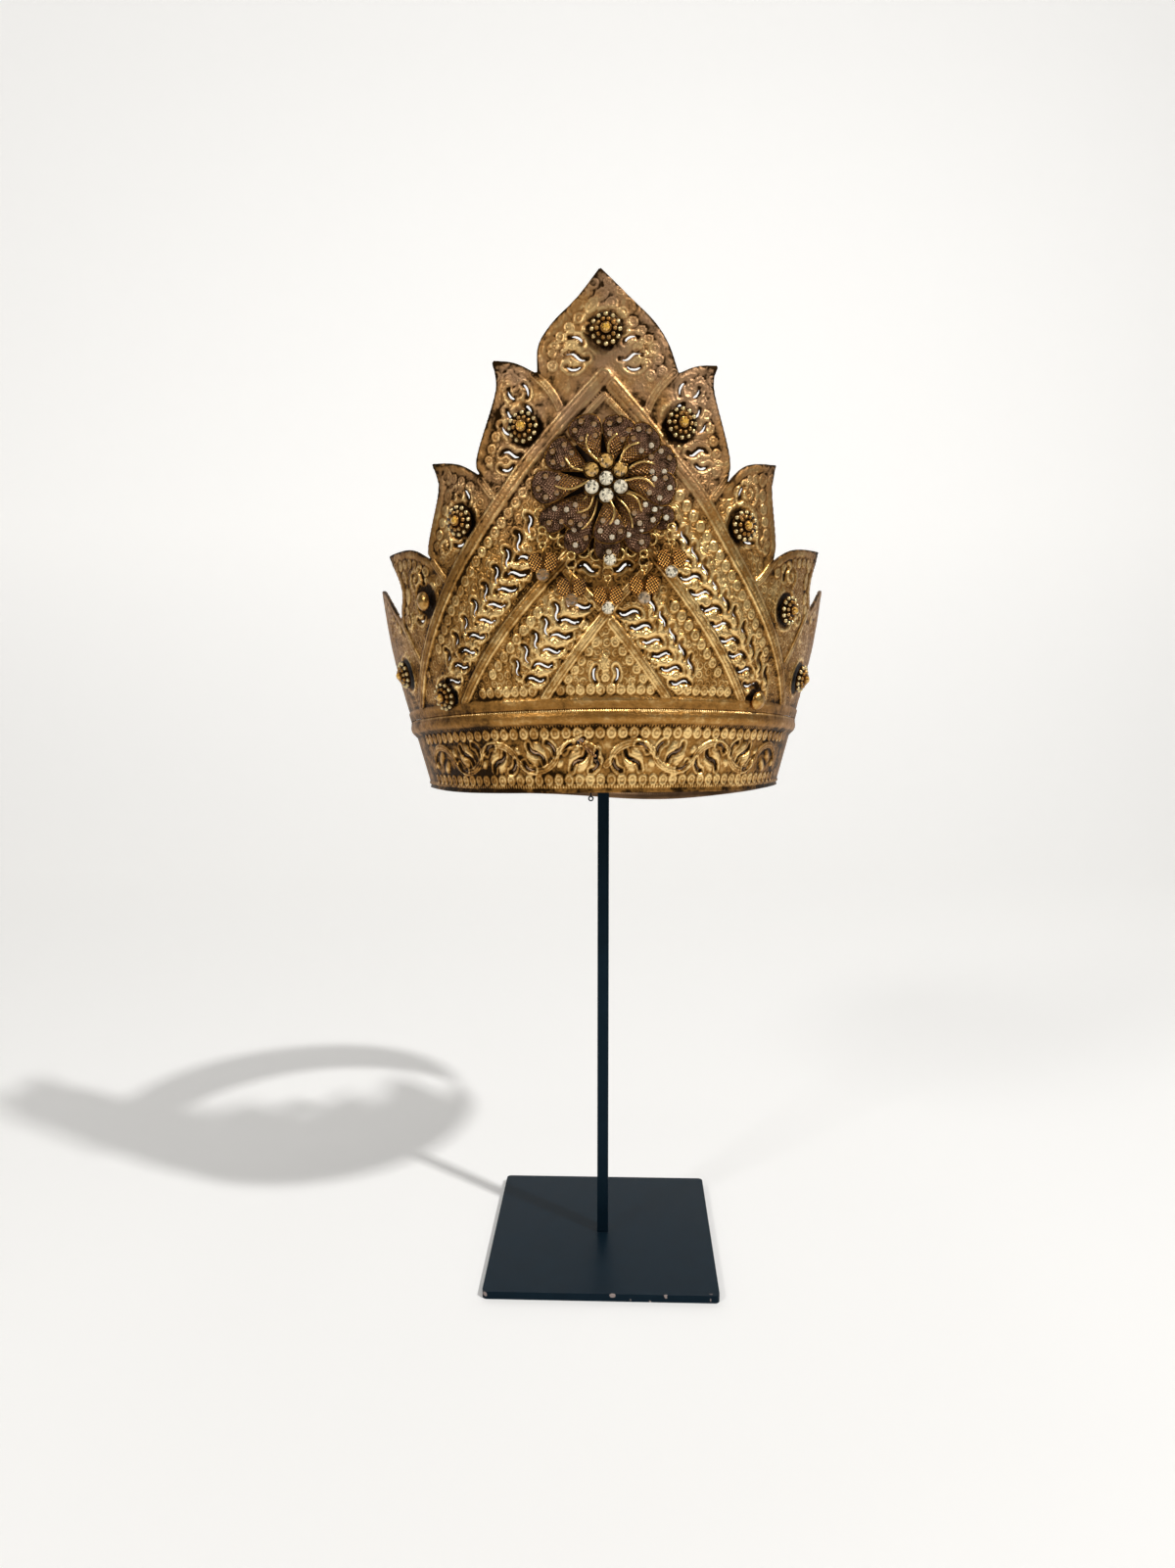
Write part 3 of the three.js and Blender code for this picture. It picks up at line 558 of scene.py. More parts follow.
    def bound(self, outline):
        """Limits the field to a closed outline. Returns the distance to the outline."""
        closed = np.concatenate([outline, outline[:1]])
        inside = np.zeros(self.u.shape, bool)
        for (ua, va), (ub, vb) in zip(closed[:-1], closed[1:]):
            if va != vb:
                crosses = (self.v > va) != (self.v > vb)
                inside ^= crosses & (self.u < ua + (self.v - va) * (ub - ua) / (vb - va))
        _, away, *_ = self.near(closed, WHOLE_MARGIN)
        edge = np.where(inside, away, -away)
        self.field = np.minimum(self.field, edge)
        return edge

    def cavity(self, reach):
        """How far each place lies below the mean of its neighbours within reach cells."""
        mean = self.height
        for axis in (0, 1):
            padded = np.pad(mean, [(reach, reach) if i == axis else (0, 0) for i in (0, 1)], mode="edge")
            mean = sum(np.take(padded, range(k, k + mean.shape[axis]), axis=axis)
                       for k in range(2 * reach + 1)) / (2 * reach + 1)
        return mean - self.height

    def wrapped(self, name, wall, thickness, rim=None, closed=False):
        """Mesh of the sheet on the wall: a front, a back one thickness in and walls along the edges."""
        corner, quads, tris, edges = march(self.us, self.vs, self.field, closed)
        u, v = corner[:, 0], corner[:, 1]
        height = corner_values(self, self.height, corner)
        # Hollows are darkened: tarnish together with painted shade
        stain = self.stain + CAVITY_TARNISH_AND_SHADE * self.cavity(CAVITY_REACH)
        stain = np.clip(corner_values(self, stain, corner), -1, 1)
        slant = v if rim is None else rim(u, v)
        front, back = wall.place(u, slant, height), wall.place(u, slant, height - thickness)
        count = len(corner)
        sides = np.stack([edges[:, 1], edges[:, 0], edges[:, 0] + count, edges[:, 1] + count], axis=1)
        mesh = mesh_from(
            name, np.concatenate([front, back]),
            np.concatenate([quads, quads[:, ::-1] + count, sides]),
            np.concatenate([tris, tris[:, ::-1] + count]))
        far = np.abs(self.us).max()
        folded = np.where(np.abs(u) > far / 2, np.sign(u) * (far - np.abs(u)), u)
        values = dict(sheet_u=folded if closed else u, sheet_v=v)
        for key in ("ring", "vein", "ground", "plain"):
            values[key] = corner_values(self, getattr(self, key), corner)
        for key, value in values.items():
            set_values(mesh, key, np.tile(value, 2))
        set_values(mesh, "stain", np.concatenate([stain, np.full(count, INSIDE_STAIN)]))
        set_values(mesh, "inner", np.repeat([0, 1], count))
        return mesh


# Ways that the outline can cross a grid cell, by which corners are on the metal. Places 0 to 3 are
# the corners and 4 to 7 the middles of the sides that follow them.
CELL_FACES = {
    1: [(0, 4, 7)], 2: [(1, 5, 4)], 3: [(0, 1, 5, 7)], 4: [(2, 6, 5)], 5: [(0, 4, 7), (2, 6, 5)],
    6: [(1, 2, 6, 4)], 7: [(0, 1, 2), (0, 2, 6, 7)], 8: [(3, 7, 6)], 9: [(0, 4, 6, 3)],
    10: [(1, 5, 4), (3, 7, 6)], 11: [(0, 1, 5), (0, 5, 6, 3)], 12: [(2, 3, 7, 5)],
    13: [(2, 3, 0), (2, 0, 4, 5)], 14: [(1, 2, 3), (1, 3, 7, 4)], 15: [(0, 1, 2, 3)],
}


def march(us, vs, field, closed):
    """Faces of the part of a grid where the field is positive, with its edge where the field is zero.

    Returns the (u, v) places, the four-sided and three-sided faces, and the edges that bound them.
    """
    rows, columns = field.shape
    metal = field > 0
    right = np.roll(np.arange(columns), -1)
    u, v = np.meshgrid(us, vs)
    ids = np.full((3, rows, columns), -1)
    places = []
    count = 0

    def add(layer, mask, at_u, at_v):
        nonlocal count
        number = int(mask.sum())
        ids[layer][mask] = np.arange(count, count + number)
        places.append(np.stack([at_u[mask], at_v[mask]], axis=1))
        count += number

    add(0, metal, u, v)
    across = metal != metal[:, right]
    upward = np.zeros_like(metal)
    upward[:-1] = metal[:-1] != metal[1:]
    if not closed:
        across[:, -1] = False
    share = cross_share(field, field[:, right])
    add(1, across, u + share * (u[:, right] - u), v)
    above = np.roll(field, -1, axis=0)
    share = cross_share(field, above)
    add(2, upward, u, v + share * (np.roll(v, -1, axis=0) - v))

    last = columns if closed else columns - 1
    j, i = np.meshgrid(np.arange(rows - 1), np.arange(last), indexing="ij")
    k = right[i]
    kind = metal[j, i] + 2 * metal[j, k] + 4 * metal[j + 1, k] + 8 * metal[j + 1, i]
    slots = np.stack([
        ids[0][j, i], ids[0][j, k], ids[0][j + 1, k], ids[0][j + 1, i],
        ids[1][j, i], ids[2][j, k], ids[1][j + 1, i], ids[2][j, i]], axis=-1)
    quads, tris, edges = [], [], []
    for case, faces in CELL_FACES.items():
        cells = slots[kind == case]
        for face in faces:
            (quads if len(face) == 4 else tris).append(cells[:, list(face)])
            for a, b in zip(face, face[1:] + face[:1]):
                if a > 3 and b > 3:
                    edges.append(cells[:, [a, b]])
    return np.concatenate(places), np.concatenate(quads), np.concatenate(tris), np.concatenate(edges)


def cross_share(a, b):
    """Share of the way from a to b where the field is zero."""
    with np.errstate(divide="ignore", invalid="ignore"):
        share = np.where(a != b, a / (a - b), 0.5)
    return np.clip(np.nan_to_num(share, nan=0.5), 0.06, 0.94)


def corner_values(sheet, values, corner):
    """Values of a grid at some places, mixed from the four grid places round each."""
    i = np.clip(np.searchsorted(sheet.us, corner[:, 0]) - 1, 0, len(sheet.us) - 2)
    j = np.clip(np.searchsorted(sheet.vs, corner[:, 1]) - 1, 0, len(sheet.vs) - 2)
    s = np.clip((corner[:, 0] - sheet.us[i]) / (sheet.us[i + 1] - sheet.us[i]), 0, 1)
    t = np.clip((corner[:, 1] - sheet.vs[j]) / (sheet.vs[j + 1] - sheet.vs[j]), 0, 1)
    low = values[j, i] * (1 - s) + values[j, i + 1] * s
    high = values[j + 1, i] * (1 - s) + values[j + 1, i + 1] * s
    return low * (1 - t) + high * t


def mesh_from(name, points, quads, tris):
    """Mesh of places in metres and faces of four and three corners, shaded smooth."""
    mesh = bpy.data.meshes.new(name)
    quads = np.asarray(quads, np.int32).reshape(-1, 4)
    tris = np.asarray(tris, np.int32).reshape(-1, 3)
    corners = np.concatenate([quads.ravel(), tris.ravel()])
    starts = np.concatenate([np.arange(len(quads)) * 4, len(quads) * 4 + np.arange(len(tris)) * 3])
    mesh.vertices.add(len(points))
    mesh.vertices.foreach_set("co", np.asarray(points, np.float32).ravel())
    mesh.loops.add(len(corners))
    mesh.loops.foreach_set("vertex_index", corners)
    mesh.polygons.add(len(starts))
    mesh.polygons.foreach_set("loop_start", starts.astype(np.int32))
    mesh.polygons.foreach_set("use_smooth", np.ones(len(starts), bool))
    mesh.update(calc_edges=True)
    return mesh


def set_values(mesh, name, values):
    """Stores one number at each place of a mesh for its material to read."""
    attribute = mesh.attributes.new(name, "FLOAT", "POINT")
    attribute.data.foreach_set("value", np.asarray(values, np.float32))


def add_piece(name, mesh, materials, nodes):
    """Puts a mesh in the scene as the look of some CAD nodes."""
    piece = bpy.data.objects.new(name, mesh)
    bpy.context.scene.collection.objects.link(piece)
    for material in materials:
        mesh.materials.append(material)
    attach(piece, BODY)
    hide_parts(*nodes)


def grid_line(front, step, end, side_step):
    """Grid places from -end to end: step apart within front and side_step apart beyond it."""
    fine = np.arange(0, front, step)
    coarse = np.linspace(fine[-1] + step, end, max(2, round((end - fine[-1]) / side_step)))
    half = np.concatenate([fine[1:], coarse])
    return np.concatenate([-half[::-1], [0], half])


# Crest

CREST_END, CREST_TOP = 188, 219.5
BOSS_PITCH = 5.3
# Bosses inside the leaves' edges: their size, and how far in they stand
LEAF_BOSS = 0.92
LEAF_BOSS_INSET = 6.3
APEX_BOSS_PITCH = 5.4
APEX_BOSS_INSETS = (11.6, 6.4)
LOBE_HEIGHT = 0.9
# Slant over which the work grows softer towards the apex
SOFT_FROM, SOFT_TO = 115, 160
# Radii of the hollow under a stud, where the stud's shadow is painted, of its raised rim and of the ground
# left bare round it
STUD_SEAT, STUD_SEAT_RIM, STUD_GROUND = 7.4, 9.2, 10
RIM_HEIGHT = 0.55
FOOT_HEIGHT, FOOT_FROM, FOOT_TO = 0.75, 42.4, 43.2
# How even the finish is on the crest's foot and on the headband's moulding
EVEN = 0.6
# Middle of the painted shade under the flower and its pendants
SHADE_U, SHADE_V = -12, 106


def crest_sheet(wall_settings, relief):
    """The crest unrolled: leaf rims, triangle ridges, boss rows, vines and slits."""
    step = relief.grid_step / MM
    bottom = (wall_settings.band_top + wall_settings.seat_gap) / MM
    us = grid_line(relief.front_width / MM, step, CREST_END, relief.side_step / MM)
    sheet = Sheet(us, np.arange(bottom - 2 * step, CREST_TOP, step))
    u, v = sheet.u, sheet.v
    edge = sheet.bound(crest_outline(bottom))
    sheet.ground[:] = smooth_step(edge, 6, 7) * (1 - smooth_step(v, 150, 165))
    radius, height = relief.boss_radius / MM, relief.boss_height / MM

    for volute in both_sides(VOLUTES):
        sheet.stroke(volute_line(volute), 0.95, 0.75)
    for slit in vine_slits():
        side = slit["side"]
        sheet.lobe(side * slit["u"], slit["v"] - 0.5 * slit["drop"],
                   0.9 * slit["length"], 3.2, side * slit["lean"], LOBE_HEIGHT)
    for row in BOSS_ROWS:
        sheet.bosses(spline(row, 6), BOSS_PITCH, radius, height)
    sheet.lobe(-0.5, 57.5, 10, 5.2, 90, LOBE_HEIGHT)
    sheet.bosses(np.array([[-2.6, 51.6], [2.2, 51.6]]), 5, 2.2, height)
    for leaf in LEAVES:
        for line in leaf_edges(leaf):
            sheet.bosses(line, BOSS_PITCH, LEAF_BOSS * radius, height, LEAF_BOSS_INSET, -leaf["side"])
    for side in (-1, 1):
        for inset in APEX_BOSS_INSETS:
            sheet.bosses(apex_edge(side), APEX_BOSS_PITCH, LEAF_BOSS * radius, height, inset, -side)
    soft = 1 - 0.2 * smooth_step(v, SOFT_FROM, SOFT_TO)
    sheet.height *= soft
    sheet.stain *= soft
    for stud in STUDS:
        away = np.hypot(u - stud["u"], v - stud["v"])
        seat = bell(away, STUD_SEAT, 6)
        sheet.blend(WHOLE, seat, height=-0.6)
        sheet.height += 0.5 * bell(away - STUD_SEAT_RIM, 0.9)
        # Painted shadow of the stud over its seat
        sheet.stain += 0.8 * seat
        sheet.ground *= 1 - bell(away, STUD_GROUND, 6)

    for vein in LEAF_VEINS:
        for side in (-1, 1):
            sheet.ridge(spline(np.array(vein) * [side, 1], 8), 3.6, 0.7)
    for leg in reversed(TRIANGLE_LEGS):
        sheet.ridge(spline(leg["line"], 6), leg["width"], relief.ridge_height / MM, leg["rope"])
    above_foot = smooth_step(v, 43, 45)
    rim = smooth_step(edge, 0, 0.5) * (1 - smooth_step(edge, 3.0, 4.2)) * above_foot
    # The rim is painted darker towards the apex, with a dark line along the edge: painted shade of the
    # bent-back rim
    sheet.blend(WHOLE, rim, height=RIM_HEIGHT, stain=0.12 + 0.12 * smooth_step(v, 120, 170))
    sheet.stain += 0.6 * above_foot * bell(edge, 1.0)
    # Painted shade at each leaf tip, standing in for the tip's curl
    for leaf in (dict(APEX_LEAF, side=1), *LEAVES):
        tip_u, tip_v = leaf["tip"]
        sheet.stain += 0.45 * bell(np.hypot(u - leaf["side"] * tip_u, v - tip_v), 7)
    foot = 1 - smooth_step(v, FOOT_FROM, FOOT_TO)
    sheet.blend(WHOLE, foot, height=FOOT_HEIGHT, stain=0, ring=NO_RING, ground=0)
    sheet.plain = np.maximum(sheet.plain, EVEN * foot)
    for slit in vine_slits() + both_sides(LEAF_SLITS):
        sheet.pierce(slit, relief.slit_width / MM)
    # Painted shade under the flower and its pendants
    sheet.stain += 0.42 * bell(u - SHADE_U, 46, 4) * bell(v - SHADE_V, 19, 4)
    return sheet


def volute_line(volute):
    """A curl whose radius shrinks evenly with its angle."""
    t = np.linspace(0, 1, 28)
    angle = math.radians(volute["start"]) + 2 * np.pi * volute["turns"] * t
    radius = volute["radius"] * (1 - 0.8 * t)
    return np.stack([volute["side"] * (volute["u"] + radius * np.cos(angle)),
                     volute["v"] + radius * np.sin(angle)], axis=1)


class CROWN_OT_crest(bpy.types.Operator):
    """Builds the crest: leaves, triangles, vines and slits raised and pierced in one sheet"""

    bl_idname = "crown.crest"
    bl_label = "Build crest"

    def execute(self, context):
        scene = context.scene
        sheet = crest_sheet(scene.crown_wall, scene.crown_relief)
        mesh = sheet.wrapped("crest_look", Wall(scene.crown_wall), scene.crown_wall.thickness / MM)
        add_piece("crest_look", mesh, [gilt_brass("gilt_brass", scene.crown_finish)], ["crest"])
        return {"FINISHED"}


# Headband

VINE_PITCH = 25
VINE_START = 16
# Half waves of the vine to each side, and how many of them are pierced
VINE_HALF_WAVES = 5
PIERCED_HALF_WAVES = 4
VINE_MIDDLE = 16.5
VINE_SWING = 6.3
VINE_LEAN = -42
# Lobes of one half wave about its middle: along, up, length and width
VINE_LOBES = [(1.8, 0.8, 10, 4.8), (-2.8, -4, 9, 4.4), (10.5, -3, 5, 3), (-10, 3.2, 5, 3)]
BAND_BOSS_ROWS, BAND_BOSS_PITCH, BAND_BOSS = (6, 27.3), 6.2, 1.12
BAND_REACH = 137
LIP_HEIGHT = 0.6
# Round moulding along the band's upper edge: height, middle, half width and the slants of its edges
MOULDING = dict(height=1.9, middle=34.1, half=3.2, low=(30.8, 31.2), high=(36.9, 37.2))
# Bends of the band's lower edge: height, angle round the wall and spread, in degrees
RIM_LIFT, LIFT_ANGLE, LIFT_SPREAD = 3.5, 82, 26
RIM_SINK, SINK_ANGLE, SINK_SPREAD = 5, 158, 34


def half_waves(count):
    """Middle of each half wave of the vine, and which way up it is."""
    return [(VINE_START + wave * VINE_PITCH, 1 - 2 * (wave % 2)) for wave in range(count)]


def band_slits():
    """The slits of each half wave of the vine, flipped from one half wave to the next."""
    return both_sides([
        dict(row, u=middle + row["along"], v=VINE_MIDDLE + flip * row["up"],
             lean=flip * row["lean"], bend=flip * row["bend"])
        for middle, flip in half_waves(PIERCED_HALF_WAVES) for row in HALF_WAVE_SLITS])


def headband_sheet(wall_settings, relief):
    """The headband unrolled: lip, milling, boss rows, running vine and moulding."""
    step = relief.grid_step / MM
    top = wall_settings.band_top / MM
    half = math.pi * wall_settings.sheet_radius / MM
    us = grid_line(relief.front_width / MM, step, half, 2 * relief.side_step / MM)[:-1]
    sheet = Sheet(us, np.arange(-2 * step, top + 2 * step, step))
    v = sheet.v
    sheet.field = np.minimum(v, top - v)
    radius, height = relief.boss_radius / MM, relief.boss_height / MM

    for side in (-1, 1):
        for middle, flip in half_waves(VINE_HALF_WAVES):
            for along, up, length, wide in VINE_LOBES:
                sheet.lobe(side * (middle + along), VINE_MIDDLE + flip * up,
                           length, wide, VINE_LEAN * side * flip, LOBE_HEIGHT)
        run = np.linspace(0, VINE_START + (VINE_HALF_WAVES - 0.4) * VINE_PITCH, 240)
        wave = np.cos(np.pi * (run - VINE_START) / VINE_PITCH)
        swing = VINE_MIDDLE + VINE_SWING * np.sign(wave) * np.abs(wave) ** 0.6
        sheet.ridge(np.stack([side * run, swing], axis=1), 3.5, 0.8)
    for row in BAND_BOSS_ROWS:
        line = np.array([(u, row) for u in (-BAND_REACH, 0, BAND_REACH)], float)
        sheet.bosses(line, BAND_BOSS_PITCH, BAND_BOSS * radius, height)
        sheet.stain -= 0.1 * bell(v - row, 3.2, 4)
    for slit in band_slits() + TIE_HOLES:
        sheet.pierce(slit, relief.slit_width / MM, lens=False)

    for row in MILLED_ROWS:
        sheet.blend(WHOLE, bell(v - row["v"], row["width"], 4), height=row["height"])
    lip = 1 - smooth_step(v, 1.1, 1.7)
    sheet.blend(WHOLE, lip, height=LIP_HEIGHT)
    sheet.stain += 0.5 * lip
    swell = np.sqrt(np.clip(1 - ((v - MOULDING["middle"]) / MOULDING["half"]) ** 2, 0, 1))
    moulding = smooth_step(v, *MOULDING["low"]) * (1 - smooth_step(v, *MOULDING["high"]))
    sheet.blend(WHOLE, moulding, height=MOULDING["height"] * swell, stain=0)
    sheet.plain = np.maximum(sheet.plain, EVEN * moulding)
    sheet.stain += 0.25 * bell(v - 31, 0.4) - 0.35 * bell(v - 37.6, 0.5)
    return sheet


def bent_rim(u, v, sheet_radius, top):
    """Slant heights of the bent headband: its sides lift and its back right sinks, less towards the
    top."""
    angle = np.degrees(u / sheet_radius)
    lift = RIM_LIFT * bell(np.abs(angle) - LIFT_ANGLE, LIFT_SPREAD)
    sink = RIM_SINK * sum(bell(angle - SINK_ANGLE + turn, SINK_SPREAD) for turn in (0, 360))
    return v + (lift - sink) * (1 - np.clip(v, 0, top) / top) ** 2


class CROWN_OT_headband(bpy.types.Operator):
    """Builds the headband: a closed ring with a pierced running vine at the front"""

    bl_idname = "crown.headband"
    bl_label = "Build headband"

    def execute(self, context):
        scene = context.scene
        settings = scene.crown_wall
        wall = Wall(settings)

        def rim(u, v):
            return bent_rim(u, v, wall.sheet_radius, settings.band_top / MM)

        sheet = headband_sheet(settings, scene.crown_relief)
        mesh = sheet.wrapped("headband_look", wall, settings.thickness / MM, rim, closed=True)
        add_piece("headband_look", mesh, [gilt_brass("gilt_brass", scene.crown_finish)],
                  ["headband"])
        return {"FINISHED"}


# Small solids, each given as its places, its four-sided faces and its three-sided faces

BALL_SIDES, BALL_ROWS = 12, 7
HOOP_SEGMENTS, WIRE_SIDES = 24, 8
# A direction that no wire runs along
OFF_WIRE = (0.31, 0.17, 0.94)


def grid_quads(rows, columns):
    """Faces of rows of places that close on themselves."""
    i, j = np.meshgrid(np.arange(rows - 1), np.arange(columns), indexing="ij")
    k = (j + 1) % columns
    corners = [i * columns + j, i * columns + k, (i + 1) * columns + k, (i + 1) * columns + j]
    return np.stack(corners, axis=-1).reshape(-1, 4)


def capped(rings, start, end):
    """A closed skin over rings of places, drawn together to a place at each end."""
    rows, columns, _ = rings.shape
    points = np.concatenate([rings.reshape(-1, 3), [start, end]])
    j = np.arange(columns)
    k = (j + 1) % columns
    first, last = np.full(columns, rows * columns), np.full(columns, rows * columns + 1)
    top = (rows - 1) * columns
    tris = np.concatenate([np.stack([first, k, j], axis=1), np.stack([last, top + j, top + k], axis=1)])
    return points, grid_quads(rows, columns), tris


def domed(outline, profile):
    """A solid over a flat outline: each row of the profile is a share of the outline and a level."""
    profile = np.array(profile, float)
    count = len(outline)
    flat = profile[:, None, :1] * np.asarray(outline)[None]
    level = np.repeat(profile[:, None, 1:], count, axis=1)
    ends = [(0, 0, profile[0, 1]), (0, 0, profile[-1, 1])]
    return capped(np.concatenate([flat, level], axis=2), *ends)


def circle(sides):
    angle = np.linspace(0, 2 * np.pi, sides, endpoint=False)
    return np.stack([np.cos(angle), np.sin(angle)], axis=1)


def turned(profile, sides):
    """A solid turned about z: each row of the profile is a radius and a level."""
    return domed(circle(sides), profile)


def ball(radius):
    """A ball about the origin: circles of radius times the cosine of the latitude."""
    turn = np.linspace(-np.pi / 2, np.pi / 2, BALL_ROWS + 2)[1:-1]
    profile = radius * np.stack([np.cos(turn), np.sin(turn)], axis=1)
    points, quads, tris = turned(profile, BALL_SIDES)
    points[-2:, 2] = (-radius, radius)
    return points, quads, tris


def tube(path, radius, sides=WIRE_SIDES):
    """A round wire along a path: circles square to the path, closed at both ends."""
    path = np.asarray(path, float)
    along = np.gradient(path, axis=0)
    along /= np.linalg.norm(along, axis=1, keepdims=True)
    across = np.cross(along, OFF_WIRE)
    across /= np.linalg.norm(across, axis=1, keepdims=True)
    over = np.cross(along, across)
    turn = circle(sides)
    flat = turn[None, :, :1] * across[:, None] + turn[None, :, 1:] * over[:, None]
    rings = path[:, None] + radius * flat
    return capped(rings, path[0], path[-1])


def hoop(radius, wire):
    """A ring of round wire about z: a circle of circles."""
    turn, small = circle(HOOP_SEGMENTS), circle(WIRE_SIDES)
    reach = radius + wire * small[:, 0]
    flat = turn[:, None] * reach[None, :, None]
    level = np.repeat(wire * small[None, :, 1:], HOOP_SEGMENTS, axis=0)
    points = np.concatenate([flat, level], axis=2).reshape(-1, 3)
    quads = grid_quads(HOOP_SEGMENTS + 1, WIRE_SIDES) % (HOOP_SEGMENTS * WIRE_SIDES)
    return points, quads[:, ::-1], np.zeros((0, 3), int)


class Parts:
    """Solids gathered into one mesh. Each keeps a tone, a look (its material) and its own flat places."""

    def __init__(self):
        self.points, self.quads, self.tris = [], [], []
        self.tones, self.flat, self.looks, self.smooth = [], [], ([], []), ([], [])
        self.count = 0

    def add(self, solid, place=(0, 0, 0), turn=0.0, tone=0.0, look=0, smooth=True):
        points, quads, tris = solid
        c, s = math.cos(turn), math.sin(turn)
        spun = points @ np.array([[c, s, 0], [-s, c, 0], [0, 0, 1]])
        self.points.append(spun + np.asarray(place, float))
        self.flat.append(points[:, :2])
        self.tones.append(np.full(len(points), tone))
        self.quads.append(quads + self.count)
        self.tris.append(tris + self.count)
        for kind, faces in enumerate((quads, tris)):
            self.looks[kind].append(np.full(len(faces), look))
            self.smooth[kind].append(np.full(len(faces), smooth))
        self.count += len(points)

    def mesh(self, name, seat):
        """One mesh of all the solids, put in place by seat."""
        points, flat = np.concatenate(self.points), np.concatenate(self.flat)
        mesh = mesh_from(name, seat(points), np.concatenate(self.quads), np.concatenate(self.tris))
        mesh.polygons.foreach_set("material_index", np.concatenate(sum(self.looks, [])).astype(np.int32))
        mesh.polygons.foreach_set("use_smooth", np.concatenate(sum(self.smooth, [])))
        set_values(mesh, "tone", np.concatenate(self.tones))
        set_values(mesh, "flat_x", flat[:, 0])
        set_values(mesh, "flat_y", flat[:, 1])
        return mesh


# Studs

# Rings of granules from the edge in
STUD_RINGS = table("radius level ball count tone", (5.75, 2.5, 0.98, 12, 1), (3.7, 3.6, 0.92, 10, 0.5))
STUD_COLLET = turned([(1.5, -1.4), (2.0, -1.0), (2.25, 0.2), (2.05, 0.6), (1.6, 0.3)], 16)
STUD_STONE = turned([(1.0, 0.0), (1.7, 0.3), (1.5, 0.95), (0.9, 1.35)], 10)
STUD_STONE_LOOK = 1
STUD_MIDDLE = (0, 0, 4.8)
BEADED_DOME = turned(
    [(2.4, 0.3), (2.4, 1.3), (6.7, 1.4), (6.8, 1.8), (6.2, 2.4), (4.4, 3.3), (2.4, 4.0)], 28)
BARE_DOME = turned(
    [(2.4, 0.3), (2.4, 1.3), (4.3, 1.4), (4.4, 1.8), (3.9, 2.6), (3.0, 3.3), (1.9, 3.8), (0.9, 4.0)], 28)


def stud_parts(beaded):
    """A stud on its foot: a dark dome with rings of granules round a set stone, or a bare dome."""
    parts = Parts()
    if not beaded:
        parts.add(BARE_DOME, tone=0.55)
        return parts
    parts.add(BEADED_DOME)
    parts.add(STUD_COLLET, STUD_MIDDLE, tone=0.45)
    parts.add(STUD_STONE, STUD_MIDDLE, look=STUD_STONE_LOOK, smooth=False)
    for ring in STUD_RINGS:
        for spot in ring["radius"] * circle(ring["count"]):
            parts.add(ball(ring["ball"]), (*spot, ring["level"]), tone=ring["tone"])
    return parts


class CROWN_OT_studs(bpy.types.Operator):
    """Builds the studs: granulated domes on the leaves and lower corners"""

    bl_idname = "crown.studs"
    bl_label = "Build studs"

    def execute(self, context):
        scene = context.scene
        finish = scene.crown_finish
        wall = Wall(scene.crown_wall)
        beaded = [granulated("beaded", finish.bead, finish), stone("honey_stone", finish.honey_stone)]
        bare = [granulated("granulated", finish.granule, finish)]
        for stud in STUDS:
            name = stud["name"]
            parts = stud_parts(stud["beaded"])
            mesh = parts.mesh(name + "_look", lambda points: wall.stand(stud["u"], stud["v"], points))
            looks, slot = (beaded, "dark_brass") if stud["beaded"] else (bare, "bright_gold")
            add_piece(name + "_look", mesh, looks, [name])
        return {"FINISHED"}


# Flower and pendants, drawn flat in front of the wall with z out of it

FLOWER_U, FLOWER_V = 0.5, 133.3
# Hub with its backing plate
HUB = turned([(2, 0.3), (19, 0.3), (19, 0.9), (8.6, 1.6), (8.2, 5), (6.5, 6.3), (3, 6.7)], 32)
HUB_STONE = turned([(1.6, -0.6), (2.75, 0.2), (2.85, 0.6), (2.2, 1.5), (1.4, 1.9)], 14)
HUB_STONE_REACH, HUB_STONE_LEVEL = 6.8, 7.6
HUB_HOOP, HUB_HOOP_LEVEL = hoop(3.2, 0.4), 7.3
AMBER_SPOTS = (1, 2, 3)
PETAL_ROOT = 5
UPPER_PETALS = table(
    "angle reach", (75, 26), (113, 27), (152, 27), (187, 31), (228, 25), (274, 26), (318, 28), (350, 29),
    (16, 30), (45, 28))
LOWER_PETALS = table("angle reach", *((angle, 33) for angle in (215, 243, 271, 299, 327)))
# Half widths of the petals
UPPER_WIDTH, LOWER_WIDTH = 4.5, 3.6
# Levels of the petals. Every other upper petal lies one step higher.
UPPER_LEVEL, UPPER_STEP, LOWER_LEVEL = 4.1, 1.5, 2.6
PETAL_DOME = [
    (0.5, -0.5), (0.97, -0.3), (1, 0), (0.95, 0.6), (0.8, 1.3), (0.58, 1.85), (0.3, 2.15), (0.1, 2.22)]
# Stones on a petal as shares of its half length and half width
UPPER_STONES = [(0.78, 0.1), (0.58, 0.62), (0.5, -0.6), (0.22, 0.55), (0.12, -0.5)]
LOWER_STONES = [(0.74, 0.1), (0.42, 0.6), (0.36, -0.55)]
COLLET = turned([(1.0, -0.6), (1.45, -0.5), (1.6, 0.3), (1.42, 0.55), (1.15, 0.35)], 12)
SMALL_STONE = turned([(0.7, 0.0), (1.25, 0.35), (1.05, 0.85), (0.6, 1.1)], 9)
# Way round the flower to its most lit stones, away from which the stones are painted browner as painted
# shade, and the step between the stones' own browning
LIT_SIDE = math.radians(-45)
BROWNING_STEP = 0.618
RIM_WIRE, STEM_WIRE, PETAL_WIRE_SIDES = 0.36, 0.48, 6
# Loops at both sides of a lower petal's end, as far apart as the spread in degrees
LOOP, LOOP_REACH, LOOP_LEVEL, LOOP_SPREAD = hoop(2.3, 0.45), 30.5, 2.2, 9
